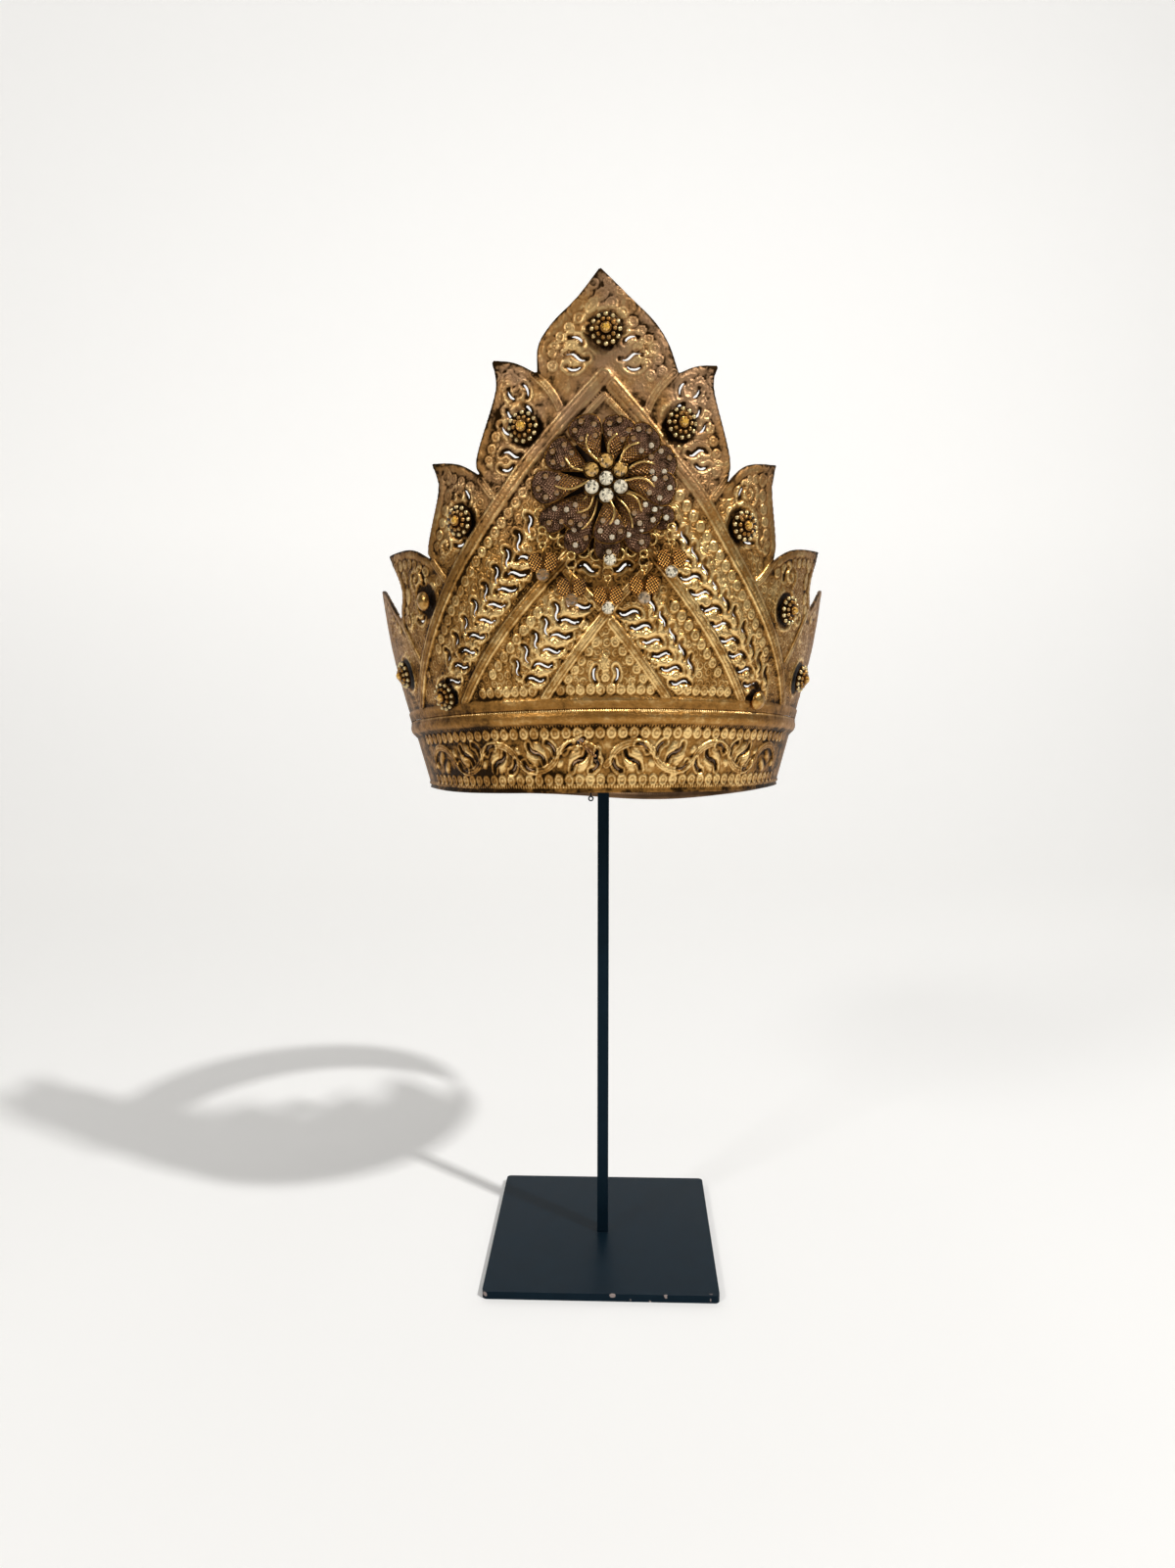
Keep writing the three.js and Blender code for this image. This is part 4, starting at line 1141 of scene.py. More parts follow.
# Eye at a lower petal's end, and how far below that end the eye and the middle of its pendant are
EYE, EYE_REACH, EYE_LEVEL, EYE_DROP, PENDANT_DROP = hoop(1.6, 0.4), 32.5, 3.2, 1.6, 14.8
LOW_STONE = (1.5, -32.3, 3.6)
DROP_STONE = turned([(1.4, -1.1), (2.5, -0.2), (2.55, 0.2), (1.9, 1.1), (1.2, 1.35)], 16)
DROP_COLLET = turned([(1.2, -1.3), (2.3, -1.0), (2.85, -0.1), (2.8, 0.25), (2.55, 0.2)], 16)
DROP_STONE_LIFT = (0, 0, 0.2)
PENDANT_STONE = (0, -5, 0.4)
PENDANT_HOOP, PENDANT_HOOP_PLACE = hoop(1.25, 0.38), (0, 7.2, 0)
PENDANT_STEM = tube([(0, 6.2, 0), (0, 3, -0.2), (0, 0, -0.6), (0, -3, -0.6)], 0.5)
WING_DOME = [(0.5, -0.8), (0.95, -0.6), (1, 0), (0.93, 0.5), (0.75, 0.85), (0.5, 1.05), (0.2, 1.15)]
# Half size of a wing, power of its rounded outline, place beside the stem and turn
WING_SIZE, WING_POWER, WING_SPREAD, WING_LIFT, WING_TURN = (2.9, 3.8), 0.75, 3.3, 0.2, 0.22
# Gilding of each pendant's wings and browning of its stone
PENDANT_TONES = [(0.7, 0.85), (0.55, 0.85), (0.9, 0), (1, 0.6), (0.95, 0.3)]
PETAL_LOOK, GOLD_LOOK, STONE_LOOK, HUB_LOOK = range(4)


def petal_reach(x, half_width):
    """Half width of a petal at a share x of its half length: the square of a line times a round end."""
    return half_width * (1 + 0.62 * x) ** 2 * np.sqrt(1 - x * x)


def petal_outline(half_length, half_width):
    """A petal that widens from a narrow root to a round end."""
    x, y = circle(36).T
    x = np.clip(x, -1, 1)
    return np.stack([half_length * x, np.sign(y) * petal_reach(x, half_width)], axis=1)


def add_petal(parts, petal, half_width, level, stones):
    """One petal: a domed egg with set stones, a rim wire and a curved stem."""
    length = (petal["reach"] - PETAL_ROOT) / 2
    middle = (petal["reach"] + PETAL_ROOT) / 2
    turn = math.radians(petal["angle"])
    c, s = math.cos(turn), math.sin(turn)

    def spot(x, y, z):
        """Place in the flower of a place along and across the petal."""
        return np.array([c * (middle + x) - s * y, s * (middle + x) + c * y, level + z])

    def wire(places, radius, tone):
        line = [spot(*place) for place in places]
        parts.add(tube(line, radius, PETAL_WIRE_SIDES), look=GOLD_LOOK, tone=tone)

    outline = petal_outline(length, half_width)
    parts.add(domed(outline, PETAL_DOME), spot(0, 0, 0), turn, look=PETAL_LOOK)
    wire([(x, y, 0.1) for x, y in (*outline, *outline[:2])], RIM_WIRE, 0.3)
    # Stones turned from the light are painted browner, as painted shade, on top of each stone's own browning
    shaded = 0.5 - 0.5 * math.cos(turn - LIT_SIDE)
    for i, (x, y) in enumerate(stones):
        place = spot(length * x, petal_reach(x, half_width) * y, 1.9 - 1.5 * y * y)
        parts.add(COLLET, place, look=GOLD_LOOK, tone=0.2)
        browning = 0.2 + 0.5 * shaded + 0.5 * ((BROWNING_STEP * (i + petal["angle"])) % 1)
        parts.add(SMALL_STONE, place, tone=browning, look=STONE_LOOK, smooth=False)
    share = np.linspace(0, 1, 12)
    x = -length + 2 + 1.1 * length * share
    y = 0.7 * half_width * np.sin(np.pi * share) * (0.5 + 0.5 * share)
    z = 1.4 + 1.5 * np.sin(np.pi * (0.15 + 0.7 * share))
    wire(zip(x, y, z), STEM_WIRE, 0.9)


def add_drop_stone(parts, place, gilding, browning):
    """A stone as large as a pendant's in its collet."""
    parts.add(DROP_COLLET, place, look=GOLD_LOOK, tone=gilding)
    parts.add(DROP_STONE, np.add(place, DROP_STONE_LIFT), tone=browning, look=STONE_LOOK, smooth=False)


def around(angle, reach, level, drop=0.0):
    """Place in the flower at an angle in degrees and a reach from its middle, lowered by a drop."""
    turn = math.radians(angle)
    return np.array([reach * math.cos(turn), reach * math.sin(turn) - drop, level])


def hub_spots():
    """Places of the middle stone and the six round it."""
    return np.concatenate([[[0, 0]], HUB_STONE_REACH * np.roll(circle(12), -1, axis=0)[::2]])


def flower_parts():
    """The brooch: a dark hub with seven collets, ten upper petals and five lower ones with loops."""
    parts = Parts()
    parts.add(HUB, look=HUB_LOOK)
    for petal in LOWER_PETALS:
        add_petal(parts, petal, LOWER_WIDTH, LOWER_LEVEL, LOWER_STONES)
        for side in (-1, 1):
            place = around(petal["angle"] + LOOP_SPREAD * side, LOOP_REACH, LOOP_LEVEL)
            parts.add(LOOP, place, look=GOLD_LOOK, tone=0.9)
        parts.add(EYE, around(petal["angle"], EYE_REACH, EYE_LEVEL, EYE_DROP), look=GOLD_LOOK, tone=1)
    for i, petal in enumerate(UPPER_PETALS):
        add_petal(parts, petal, UPPER_WIDTH, UPPER_LEVEL + UPPER_STEP * (i % 2), UPPER_STONES)
    for spot in hub_spots():
        parts.add(HUB_HOOP, (*spot, HUB_HOOP_LEVEL), look=GOLD_LOOK, tone=0.2)
    add_drop_stone(parts, LOW_STONE, 0.6, 0)
    return parts


def pendant_parts(gilding, browning):
    """A drop: a loop and a stem, two cross-cut wings gilt so far and a set stone browned so far."""
    parts = Parts()
    round_place = circle(28)
    wing = WING_SIZE * np.sign(round_place) * np.abs(round_place) ** WING_POWER
    for side in (-1, 1):
        place = (WING_SPREAD * side, WING_LIFT, 0)
        parts.add(domed(wing, WING_DOME), place, -WING_TURN * side, look=PETAL_LOOK, tone=gilding)
    parts.add(PENDANT_STEM, look=GOLD_LOOK, tone=0.3)
    parts.add(PENDANT_HOOP, PENDANT_HOOP_PLACE, look=GOLD_LOOK, tone=1)
    add_drop_stone(parts, PENDANT_STONE, 0.5, browning)
    return parts


class CROWN_OT_flower(bpy.types.Operator):
    """Builds the flower brooch and the pendants that hang from it"""

    bl_idname = "crown.flower"
    bl_label = "Build flower"

    def execute(self, context):
        scene = context.scene
        finish = scene.crown_finish
        wall = Wall(scene.crown_wall)
        looks = [hatched("hatched", finish), granulated("granulated", finish.granule, finish),
                 stone("clear_stone", finish.clear_stone), black_hub("black_hub", finish)]

        def seat(points):
            return wall.stand(FLOWER_U, FLOWER_V, points)

        add_piece("flower_look", flower_parts().mesh("flower_look", seat), looks, ["flower"])
        for i, spot in enumerate(hub_spots()):
            name = f"stone_{i}"
            slot = "amber_stone" if i in AMBER_SPOTS else "clear_stone"
            parts = Parts()
            parts.add(HUB_STONE, (*spot, HUB_STONE_LEVEL), tone=0.037 * i, smooth=False)
            mesh = parts.mesh(name + "_look", seat)
            add_piece(name + "_look", mesh, [stone(slot, getattr(finish, slot))], [name])
        for i, petal in enumerate(LOWER_PETALS):
            name = f"pendant_{i + 1}"
            middle = around(petal["angle"], EYE_REACH, EYE_LEVEL, PENDANT_DROP)
            parts = pendant_parts(*PENDANT_TONES[i])
            mesh = parts.mesh(name + "_look", lambda points: seat(points + middle))
            add_piece(name + "_look", mesh, looks, [name])
        return {"FINISHED"}


# Line of the tie wire over the front of the headband, in sheet places with the height off the sheet
TIE_LINE = [(-14.2, 23.6, -2.6), (-14.1, 23.5, 0.6), (-12.4, 21.9, 1.9), (-8.2, 18.6, 1.9),
            (-5.9, 16.8, 0.6), (-5.6, 16.6, -2.6)]
TIE_HALF_TURNS, TIE_SWAY, TIE_STRAND = 9, 0.48, 0.42


class CROWN_OT_tie(bpy.types.Operator):
    """Builds the twisted wire that ties the headband to the stand"""

    bl_idname = "crown.tie"
    bl_label = "Build tie wire"

    def execute(self, context):
        scene = context.scene
        wall = Wall(scene.crown_wall)
        line = spline(TIE_LINE, 14)
        share = np.linspace(0, 1, len(line))[:, None]
        parts = Parts()
        for start in (0, math.pi):
            turn = start + TIE_HALF_TURNS * math.pi * share
            sway = TIE_SWAY * np.concatenate([np.cos(turn), 0.7 * np.cos(turn), np.sin(turn)], axis=1)
            parts.add(tube(line + sway * np.sin(np.pi * share), TIE_STRAND), tone=0.4)
        mesh = parts.mesh("tie_wire_look", lambda points: wall.place(*points.T))
        add_piece("tie_wire_look", mesh, [copper_wire(scene.crown_finish)], ["tie_wire"])
        return {"FINISHED"}


# Materials

class Shading:
    """Shader nodes of a material or a group. A value is a number, a colour or another node's output."""

    def __init__(self, tree, shader=None):
        self.tree, self.shader = tree, shader

    def give(self, socket, value):
        """Links an output to a socket, or sets the socket to a number or a colour."""
        if hasattr(value, "links"):
            self.tree.links.new(value, socket)
        else:
            socket.default_value = (*value, 1) if socket.type == "RGBA" else value

    def node(self, kind, inputs=None, **settings):
        node = self.tree.nodes.new("ShaderNode" + kind)
        for key, value in settings.items():
            setattr(node, key, value)
        for label, value in (inputs or {}).items():
            self.give(node.inputs[label], value)
        return node

    def math(self, operation, *values):
        return self.node("Math", dict(enumerate(values)), operation=operation).outputs["Value"]

    def scaled(self, value, factor, plus=0.0):
        """A value times a factor, plus another value."""
        return self.math("MULTIPLY_ADD", value, factor, plus)

    def away(self, value, middle):
        return self.math("ABSOLUTE", self.math("SUBTRACT", value, middle))

    def ramp(self, value, low, high):
        """A smooth step from zero at low to one at high."""
        inputs = {"Value": value, "From Min": low, "From Max": high}
        return self.node("MapRange", inputs, interpolation_type="SMOOTHSTEP").outputs["Result"]

    def mix(self, share, a, b):
        return self.node("Mix", {"Factor": share, "A": a, "B": b}, data_type="RGBA").outputs["Result"]

    def attribute(self, name):
        return self.node("Attribute", attribute_name=name).outputs["Fac"]

    def place(self):
        return self.node("TexCoord").outputs["Object"]

    def noise(self, scale, detail, roughness=0.5):
        inputs = {"Scale": scale, "Detail": detail, "Roughness": roughness}
        group = shader_group("mottle", dict.fromkeys(inputs, "Float"), ("Value", "Float"), mottle)
        return self.node("Group", inputs, node_tree=group).outputs[0]

    def patina(self, wear, bright, worn, dark):
        colours = {"Bright": bright, "Worn": worn, "Dark": dark}
        kinds = {"Wear": "Float", **dict.fromkeys(colours, "Color")}
        group = shader_group("patina", kinds, ("Color", "Color"), patina)
        return self.node("Group", {"Wear": wear, **colours}, node_tree=group).outputs[0]

    def paint(self, colour, **values):
        """Gives the shader its colour and other values, named with _ for a space."""
        for label, value in {"Base_Color": colour, **values}.items():
            self.give(self.shader.inputs[label.replace("_", " ")], value)

    def bump(self, height, distance, strength):
        bump = self.node("Bump", {"Height": height, "Distance": distance, "Strength": strength})
        self.give(self.shader.inputs["Normal"], bump.outputs["Normal"])


def shader_group(name, inputs, output, build):
    """A shader group, built once: named inputs and an output, which is what build makes of the inputs."""
    group = bpy.data.node_groups.get(name)
    if group is None:
        group = bpy.data.node_groups.new(name, "ShaderNodeTree")
        for label, kind in inputs.items():
            group.interface.new_socket(label, in_out="INPUT", socket_type="NodeSocket" + kind)
        label, kind = output
        group.interface.new_socket(label, in_out="OUTPUT", socket_type="NodeSocket" + kind)
        given = group.nodes.new("NodeGroupInput").outputs
        result = group.nodes.new("NodeGroupOutput").inputs
        group.links.new(build(Shading(group), given), result[label])
    return group


def mottle(nodes, given):
    """Mottling shared by the finishes: noise on Object coordinates, with its scale in cells per metre."""
    inputs = {label: given[label] for label in ("Scale", "Detail", "Roughness")}
    return nodes.node("TexNoise", {"Vector": nodes.place(), **inputs}).outputs["Fac"]


def patina(nodes, given):
    """Colouring shared by the metals: bright where the wear is low, worn between, dark where it is high."""
    worn = nodes.mix(nodes.ramp(given["Wear"], -0.5, 0.25), given["Bright"], given["Worn"])
    return nodes.mix(nodes.ramp(given["Wear"], 0.2, 0.8), worn, given["Dark"])


def look(build):
    """Turns a way of setting nodes into one that makes the material of a name once and returns it."""
    @functools.wraps(build)
    def made(name, *values):
        material = bpy.data.materials.get(name + "_look")
        if material is None:
            material = bpy.data.materials.new(name + "_look")
            material.use_nodes = True
            tree = material.node_tree
            tree.nodes.clear()
            output = tree.nodes.new("ShaderNodeOutputMaterial")
            shader = tree.nodes.new("ShaderNodeBsdfPrincipled")
            tree.links.new(shader.outputs["BSDF"], output.inputs["Surface"])
            build(Shading(tree, shader), *values)
        return material
    return made


def dimmed(colour, share):
    return tuple(share * c for c in colour)


# Tone of a chased boss or ridge from its middle outwards: places as shares of the widest ring
RING_TONES = [(0, 0.7), (0.14, 0.6), (0.3, 0.05), (0.5, 1), (0.6, 0.9), (0.76, 0.12), (0.95, 0.5)]
VEIN_PITCH = 2.0
PUNCH_PITCH = 4.4
# Mottling of the raised brass: scale, detail and share
GILT_MOTTLES = [(28, 4, 0.7), (150, 3, 1.5), (600, 3, 0.6)]
# Sum of the tones that counts as no wear
GILT_WEAR = 1.57
# Place round the wall that faces the light: the sheet is painted darker away from it, most of all low down,
# as painted shade
BRIGHT_U = 28


def sheet_place(nodes, along, up):
    """Unrolled place on the sheet, with each direction scaled."""
    u, v = nodes.attribute("sheet_u"), nodes.attribute("sheet_v")
    inputs = {"X": nodes.scaled(u, along), "Y": nodes.scaled(v, up)}
    return nodes.node("CombineXYZ", inputs).outputs["Vector"]


def streaks(nodes):
    """Noise drawn out along the sheet, read from its unrolled places."""
    inputs = {"Vector": sheet_place(nodes, 0.03, 0.7), "Scale": 1, "Detail": 3}
    return nodes.node("TexNoise", inputs).outputs["Fac"]


def punched_ground(nodes):
    """Ring punches that fill the ground: the distance from the nearest of scattered places."""
    inputs = {"Vector": sheet_place(nodes, 1 / PUNCH_PITCH, 1 / PUNCH_PITCH), "Scale": 1, "Randomness": 0.5}
    cells = nodes.node("TexVoronoi", inputs, voronoi_dimensions="2D")
    bare = nodes.scaled(nodes.attribute("ground"), -NO_RING, NO_RING)
    return nodes.math("MAXIMUM", nodes.scaled(cells.outputs["Distance"], 2.2), bare)


def ring_tone(nodes):
    """Tone across a boss or a ridge: a bright edge line and middle, with a dark line and moat between."""
    ring = nodes.math("MINIMUM", nodes.attribute("ring"), punched_ground(nodes))
    tones = nodes.node("ValToRGB", {"Fac": nodes.math("DIVIDE", ring, NO_RING)})
    stops = tones.color_ramp.elements
    while len(stops) < len(RING_TONES):
        stops.new(1)
    for stop, (place, tone) in zip(stops, RING_TONES):
        stop.position = place
        stop.color = (tone, tone, tone, 1)
    return tones.outputs["Color"]


def vein_tone(nodes):
    """Lines that echo the slits and strokes: the cosine of the distance from them, fading away."""
    away = nodes.attribute("vein")
    wave = nodes.math("COSINE", nodes.scaled(away, 2 * math.pi / VEIN_PITCH))
    return nodes.scaled(wave, nodes.ramp(away, 5.5, 2))


def milled_tone(nodes, u, v):
    """Milling along the headband's rows: the cosine of the run round the wall, within each row."""
    total = 0.0
    for row in MILLED_ROWS:
        within = nodes.ramp(nodes.away(v, row["v"]), 1.2 * row["width"], 0.7 * row["width"])
        teeth = nodes.math("COSINE", nodes.scaled(u, 2 * math.pi / row["pitch"]))
        total = nodes.scaled(within, teeth, total)
    return total


@look
def gilt_brass(nodes, finish):
    """Raised brass: bright gold where it is rubbed, brown between and dark in the hollows and lines, with
    painted shade added in the hollows, under the studs and the flower, at the leaf tips and rim, and on the
    sides turned from the light.
    """
    u, v, plain = (nodes.attribute(name) for name in ("sheet_u", "sheet_v", "plain"))
    high, low = nodes.ramp(v, 95, 165), nodes.ramp(v, 75, 35)
    veins, milled = vein_tone(nodes), milled_tone(nodes, u, v)
    rings = nodes.scaled(nodes.math("SUBTRACT", ring_tone(nodes), 0.5), nodes.scaled(high, -0.1, 1))
    # Painted shade: the sides away from the wall's most lit place are darkened, more so low down
    edge = nodes.ramp(nodes.away(u, BRIGHT_U), 25, 130)
    tones = [(nodes.noise(scale, detail), share) for scale, detail, share in GILT_MOTTLES]
    tones += [(streaks(nodes), 0.35), (rings, -0.5), (veins, -0.16), (milled, -0.3),
              (edge, nodes.scaled(low, 0.15, 0.2)), (high, 0.08), (nodes.ramp(v, 42, 36), 0.16)]
    # Worn starts from the sheet's tarnish and painted shade and adds the tones below
    worn = nodes.attribute("stain")
    for tone, share in tones:
        worn = nodes.scaled(tone, share, worn)
    worn = nodes.scaled(nodes.math("SUBTRACT", worn, GILT_WEAR), nodes.scaled(plain, -0.6, 1))
    worn = nodes.scaled(plain, 0.34, worn)
    pink = nodes.scaled(high, nodes.scaled(nodes.ramp(nodes.noise(45, 3), 0.35, 0.62), 0.7, 0.25))
    bright, brown = (nodes.mix(pink, tone, finish.copper) for tone in (finish.gold, finish.brass))
    outside = nodes.patina(worn, bright, brown, finish.tarnish)
    dull, dim = (dimmed(finish.copper, share) for share in (0.7, 0.25))
    inside = nodes.mix(nodes.ramp(nodes.noise(60, 4), 0.3, 0.7), dull, dim)
    rough = nodes.scaled(high, 0.12, nodes.scaled(nodes.ramp(worn, -0.2, 0.7), 0.22, 0.33))
    nodes.paint(nodes.mix(nodes.attribute("inner"), outside, inside), Metallic=1, Roughness=rough)
    cells = nodes.node("TexVoronoi", {"Vector": nodes.place(), "Scale": 560})
    relief = nodes.scaled(cells.outputs["Distance"], 0.2, nodes.scaled(rings, 0.5))
    for tone, share in ((nodes.noise(900, 3), 0.6), (veins, 0.13), (milled, 0.3)):
        relief = nodes.scaled(tone, share, relief)
    nodes.bump(relief, MM, 0.4)


@look
def plain_metal(nodes, colour, dark, roughness):
    """Metal with brown patches."""
    wear = nodes.scaled(nodes.noise(260, 3), 4.3, -2.2)
    dull = tuple(0.5 * (a + b) for a, b in zip(colour, dark))
    nodes.paint(nodes.patina(wear, colour, dull, dark), Metallic=1, Roughness=roughness)


def copper_wire(finish):
    return plain_metal("copper_wire", finish.copper, finish.brass, 0.35)


@look
def granulated(nodes, bright, finish):
    """Granules and wire: tarnish where the tone is none, bright metal where it is full."""
    tone = nodes.scaled(nodes.noise(500, 3), 0.6, nodes.attribute("tone"))
    wear = nodes.scaled(nodes.ramp(tone, 0.25, 1.25), -1.3, 0.85)
    nodes.paint(nodes.patina(wear, bright, finish.brass, finish.tarnish), Metallic=1, Roughness=0.3)
    nodes.bump(nodes.noise(420, 2), MM, 0.5)


@look
def hatched(nodes, finish):
    """Cross-cut metal: gold squares between dark lines on a wing, and gold mesh that fades to brown
    towards the outer end of a petal."""
    x, y, tone = (nodes.attribute(name) for name in ("flat_x", "flat_y", "tone"))
    runs = [nodes.scaled(nodes.scaled(y, slope, x), 2.1) for slope in (1, -1)]
    mesh = nodes.scaled(*(nodes.math("ABSOLUTE", nodes.math("SINE", run)) for run in runs))
    inner = nodes.ramp(nodes.scaled(nodes.noise(200, 2), -6, x), 2, -5)
    squares = nodes.ramp(mesh, 0.12, 0.55)
    gilt = nodes.scaled(squares, nodes.math("MAXIMUM", inner, tone))
    lines = nodes.scaled(tone, nodes.math("SUBTRACT", 1, squares))
    wear = nodes.scaled(gilt, -1.25, nodes.scaled(nodes.noise(350, 3), -1.2, 1.05))
    wear = nodes.scaled(lines, 0.5, wear)
    warm = nodes.mix(tone, finish.brass, finish.wing)
    nodes.paint(nodes.patina(wear, warm, finish.umber, finish.tarnish), Metallic=0.95, Roughness=0.34)
    nodes.bump(mesh, 0.6 * MM, 0.9)


@look
def black_hub(nodes, finish):
    """The dark ground behind the middle stones."""
    colour = nodes.mix(nodes.noise(300, 2), (0.004, 0.003, 0.003), finish.tarnish)
    nodes.paint(colour, Roughness=0.7, Specular_IOR_Level=0.08)


FACETS = 16
# How light a stone's flat top is at least, as a painted reflection, and the shares of its colour that a brown
# stone keeps
TABLE_SHARE = 0.55
BROWN_SHARES = (0.36, 0.21, 0.1)


@look
def stone(nodes, colour):
    """A cut stone: facets painted light and dark at random round a pale table, as painted reflections,
    browner where the tone is high, which on the petals' stones is in part painted shade.
    """
    x, y, tone = (nodes.attribute(name) for name in ("flat_x", "flat_y", "tone"))
    turn = nodes.scaled(nodes.math("ARCTAN2", y, x), FACETS / (2 * math.pi))
    reach = nodes.math("SQRT", nodes.scaled(x, x, nodes.scaled(y, y)))
    ring = nodes.math("FLOOR", nodes.scaled(reach, 1.1))
    place = nodes.node("CombineXYZ", {"X": nodes.math("FLOOR", turn), "Y": ring, "Z": tone})
    facet = nodes.node("TexWhiteNoise", {"Vector": place.outputs["Vector"]}, noise_dimensions="3D")
    flat_top = nodes.scaled(nodes.ramp(reach, 1.0, 0.8), TABLE_SHARE)
    shade = nodes.math("MAXIMUM", nodes.ramp(facet.outputs["Value"], 0.1, 0.65), flat_top)
    brown = tuple(c * share for c, share in zip(colour, BROWN_SHARES))
    clean = nodes.mix(nodes.ramp(tone, 0.2, 0.8), colour, brown)
    nodes.paint(nodes.mix(shade, dimmed(colour, 0.1), clean), Roughness=0.08, Metallic=0.15, Coat_Weight=1)


# Places in metres along the plate's depth where its front edge starts to chip and is chipped most
CHIP_FROM, CHIP_TO = -0.0575, -0.0598


@look
def black_paint(nodes, finish):
    """Satin dark paint with faint mottling, chipped along the front edge of the plate."""
    mottling = nodes.noise(90, 3)
    split = nodes.node("SeparateXYZ", {"Vector": nodes.place()})
    front = nodes.ramp(split.outputs["Y"], CHIP_FROM, CHIP_TO)
    chip = nodes.scaled(front, nodes.ramp(nodes.noise(170, 2, 0.3), 0.68, 0.71))
    painted = nodes.mix(mottling, finish.paint, dimmed(finish.paint, 1.8))
    nodes.paint(nodes.mix(chip, painted, finish.chip), Roughness=nodes.scaled(mottling, 0.12, 0.3),
                Specular_IOR_Level=0.08, Specular_Tint=(0.55, 0.8, 1))


class CROWN_OT_stand(bpy.types.Operator):
    """Finishes the stand and the small pieces kept from the frame"""

    bl_idname = "crown.stand"
    bl_label = "Finish stand"

    def execute(self, context):
        finish = context.scene.crown_finish
        looks = {
            "gilt_brass": gilt_brass("gilt_brass", finish),
            "dark_brass": plain_metal("dark_brass", finish.brass, finish.tarnish, 0.4),
            "bright_gold": plain_metal("bright_gold", finish.gold, finish.brass, 0.28),
            "copper_wire": copper_wire(finish),
            "clear_stone": stone("clear_stone", finish.clear_stone),
            "amber_stone": stone("amber_stone", finish.amber_stone),
            "black_paint": black_paint("black_paint", finish),
        }
        slots = {row["node"]: row["material_slot"] for row in frame["record"]["subparts"]}
        for name, node in frame["nodes"].items():
            node.data.materials.clear()
            node.data.materials.append(looks[slots[name]])
        return {"FINISHED"}


# Stage

# Nearest edge, half width, bend and upper edge of the floor and its backdrop
FLOOR_FRONT, FLOOR_WIDTH, FLOOR_BEND, FLOOR_TOP = -3, 4, 0.6, 3
# Glow of the floor: how it grows along each axis, and what it is under the stand
GLOW_SLOPE, GLOW_START = (-0.057, 0.2, 0.072), 0.04
LIGHT_AIM = (0, 0, 0.3)
LIGHTS = table(
    "name place size power",
    ("key", (1.15, -0.87, 1.7), 0.09, 33),
    ("fill", (-0.9, -1.0, 1.0), 0.3, 7.3),
    ("top", (0, 0.1, 1.6), 1.0, 3),
)
SKY_COLOUR, SKY_STRENGTH = (1, 0.99, 0.97, 1), 0.12
SENSOR_WIDTH, CLIP_START = 36, 0.01


def area_light(name, place, size, power):
    """A square soft light that looks at the crown."""
    light = bpy.data.lights.new(name, "AREA")
    light.size = size
    light.energy = power
    holder = bpy.data.objects.new(name, light)
    holder.location = place
    bpy.context.scene.collection.objects.link(holder)
    x, y, z = np.subtract(LIGHT_AIM, place)
    holder.rotation_euler = (math.atan2(math.hypot(x, y), -z), 0, math.atan2(-x, y))


def sweep(distance, material):
    """A floor that curves up into a backdrop: a flat run, a quarter round and an upright run."""
    turn = np.linspace(0, np.pi / 2, 17)
    y = np.concatenate([[FLOOR_FRONT], distance - FLOOR_BEND + FLOOR_BEND * np.sin(turn), [distance]])
    z = np.concatenate([[0], FLOOR_BEND - FLOOR_BEND * np.cos(turn), [FLOOR_TOP]])
    edges = [np.stack([np.full_like(y, x), y, z], axis=1) for x in (-FLOOR_WIDTH, FLOOR_WIDTH)]
    count = len(y)
    i = np.arange(count - 1)
    quads = np.stack([i, i + count, i + count + 1, i + 1], axis=1)
    mesh = mesh_from("studio_floor", np.concatenate(edges), quads, [])
    mesh.materials.append(material)
    floor = bpy.data.objects.new("studio_floor", mesh)
    bpy.context.scene.collection.objects.link(floor)


@look
def studio_floor(nodes, colour):
    """Pale floor and backdrop with a faint glow that grows away from the camera."""
    depth = nodes.node("VectorMath", {0: nodes.place(), 1: GLOW_SLOPE}, operation="DOT_PRODUCT")
    glow = nodes.mix(nodes.math("ADD", depth.outputs["Value"], GLOW_START), (0, 0, 0), colour)
    nodes.paint(colour, Roughness=0.9, Specular_IOR_Level=0.1, Emission_Color=glow, Emission_Strength=1)


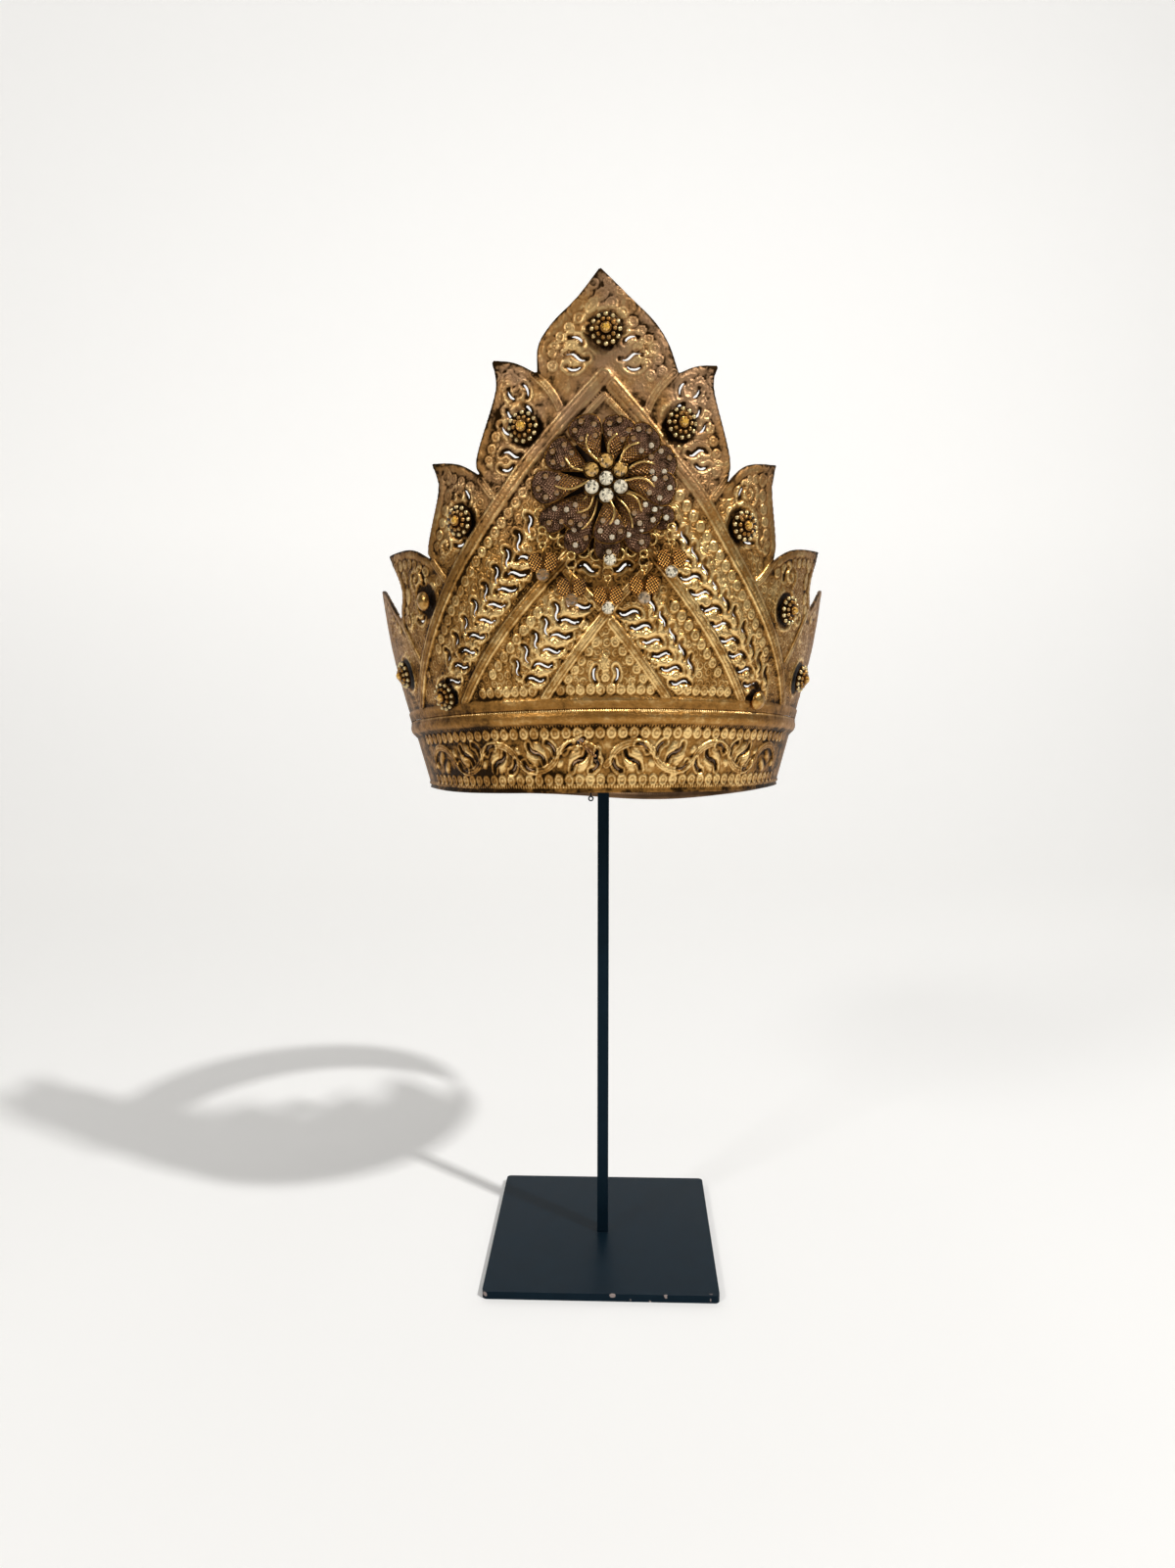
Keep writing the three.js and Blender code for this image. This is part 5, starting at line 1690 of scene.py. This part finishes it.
class CROWN_OT_stage(bpy.types.Operator):
    """Sets the pale floor, the soft lights and the camera"""

    bl_idname = "crown.stage"
    bl_label = "Set stage"

    def execute(self, context):
        scene = context.scene
        stage = scene.crown_stage
        sweep(stage.backdrop, studio_floor("studio_floor", scene.crown_finish.floor))
        world = bpy.data.worlds.new("studio")
        world.use_nodes = True
        sky = world.node_tree.nodes["Background"].inputs
        sky["Color"].default_value = SKY_COLOUR
        sky["Strength"].default_value = SKY_STRENGTH
        scene.world = world
        scene.view_settings.view_transform = "Standard"
        for light in LIGHTS:
            area_light(**light)
        camera = bpy.data.cameras.new("camera")
        camera.sensor_width = SENSOR_WIDTH
        camera.lens = stage.lens
        camera.clip_start = CLIP_START
        holder = bpy.data.objects.new("camera", camera)
        holder.location = stage.camera_place
        holder.rotation_euler = (math.pi / 2 - stage.camera_pitch, 0, stage.camera_turn)
        scene.collection.objects.link(holder)
        scene.camera = holder
        return {"FINISHED"}


class CROWN_PT_panel(bpy.types.Panel):
    """Buttons and values of the crown"""

    bl_idname = "CROWN_PT_panel"
    bl_label = "Crown"
    bl_space_type = "VIEW_3D"
    bl_region_type = "UI"
    bl_category = "Crown"

    def draw(self, context):
        layout = self.layout
        for name in GROUPS:
            group = getattr(context.scene, name)
            box = layout.box()
            for key in group.__annotations__:
                box.prop(group, key)
        for operator in OPERATORS:
            layout.operator(operator.bl_idname)


GROUPS = {
    "crown_wall": CrownWallSettings,
    "crown_relief": CrownReliefSettings,
    "crown_finish": CrownFinishSettings,
    "crown_stage": CrownStageSettings,
}
OPERATORS = [
    CROWN_OT_stand, CROWN_OT_crest, CROWN_OT_headband, CROWN_OT_studs, CROWN_OT_flower, CROWN_OT_tie,
    CROWN_OT_stage,
]


def register():
    for group in GROUPS.values():
        bpy.utils.register_class(group)
    for name, group in GROUPS.items():
        setattr(bpy.types.Scene, name, bpy.props.PointerProperty(type=group))
    for cls in (*OPERATORS, CROWN_PT_panel):
        bpy.utils.register_class(cls)


def unregister():
    for cls in (CROWN_PT_panel, *reversed(OPERATORS)):
        bpy.utils.unregister_class(cls)
    for name, group in reversed(GROUPS.items()):
        delattr(bpy.types.Scene, name)
        bpy.utils.unregister_class(group)


def main():
    register()
    for operator in OPERATORS:
        group, name = operator.bl_idname.split(".")
        getattr(getattr(bpy.ops, group), name)()


if __name__ == "__main__":
    main()
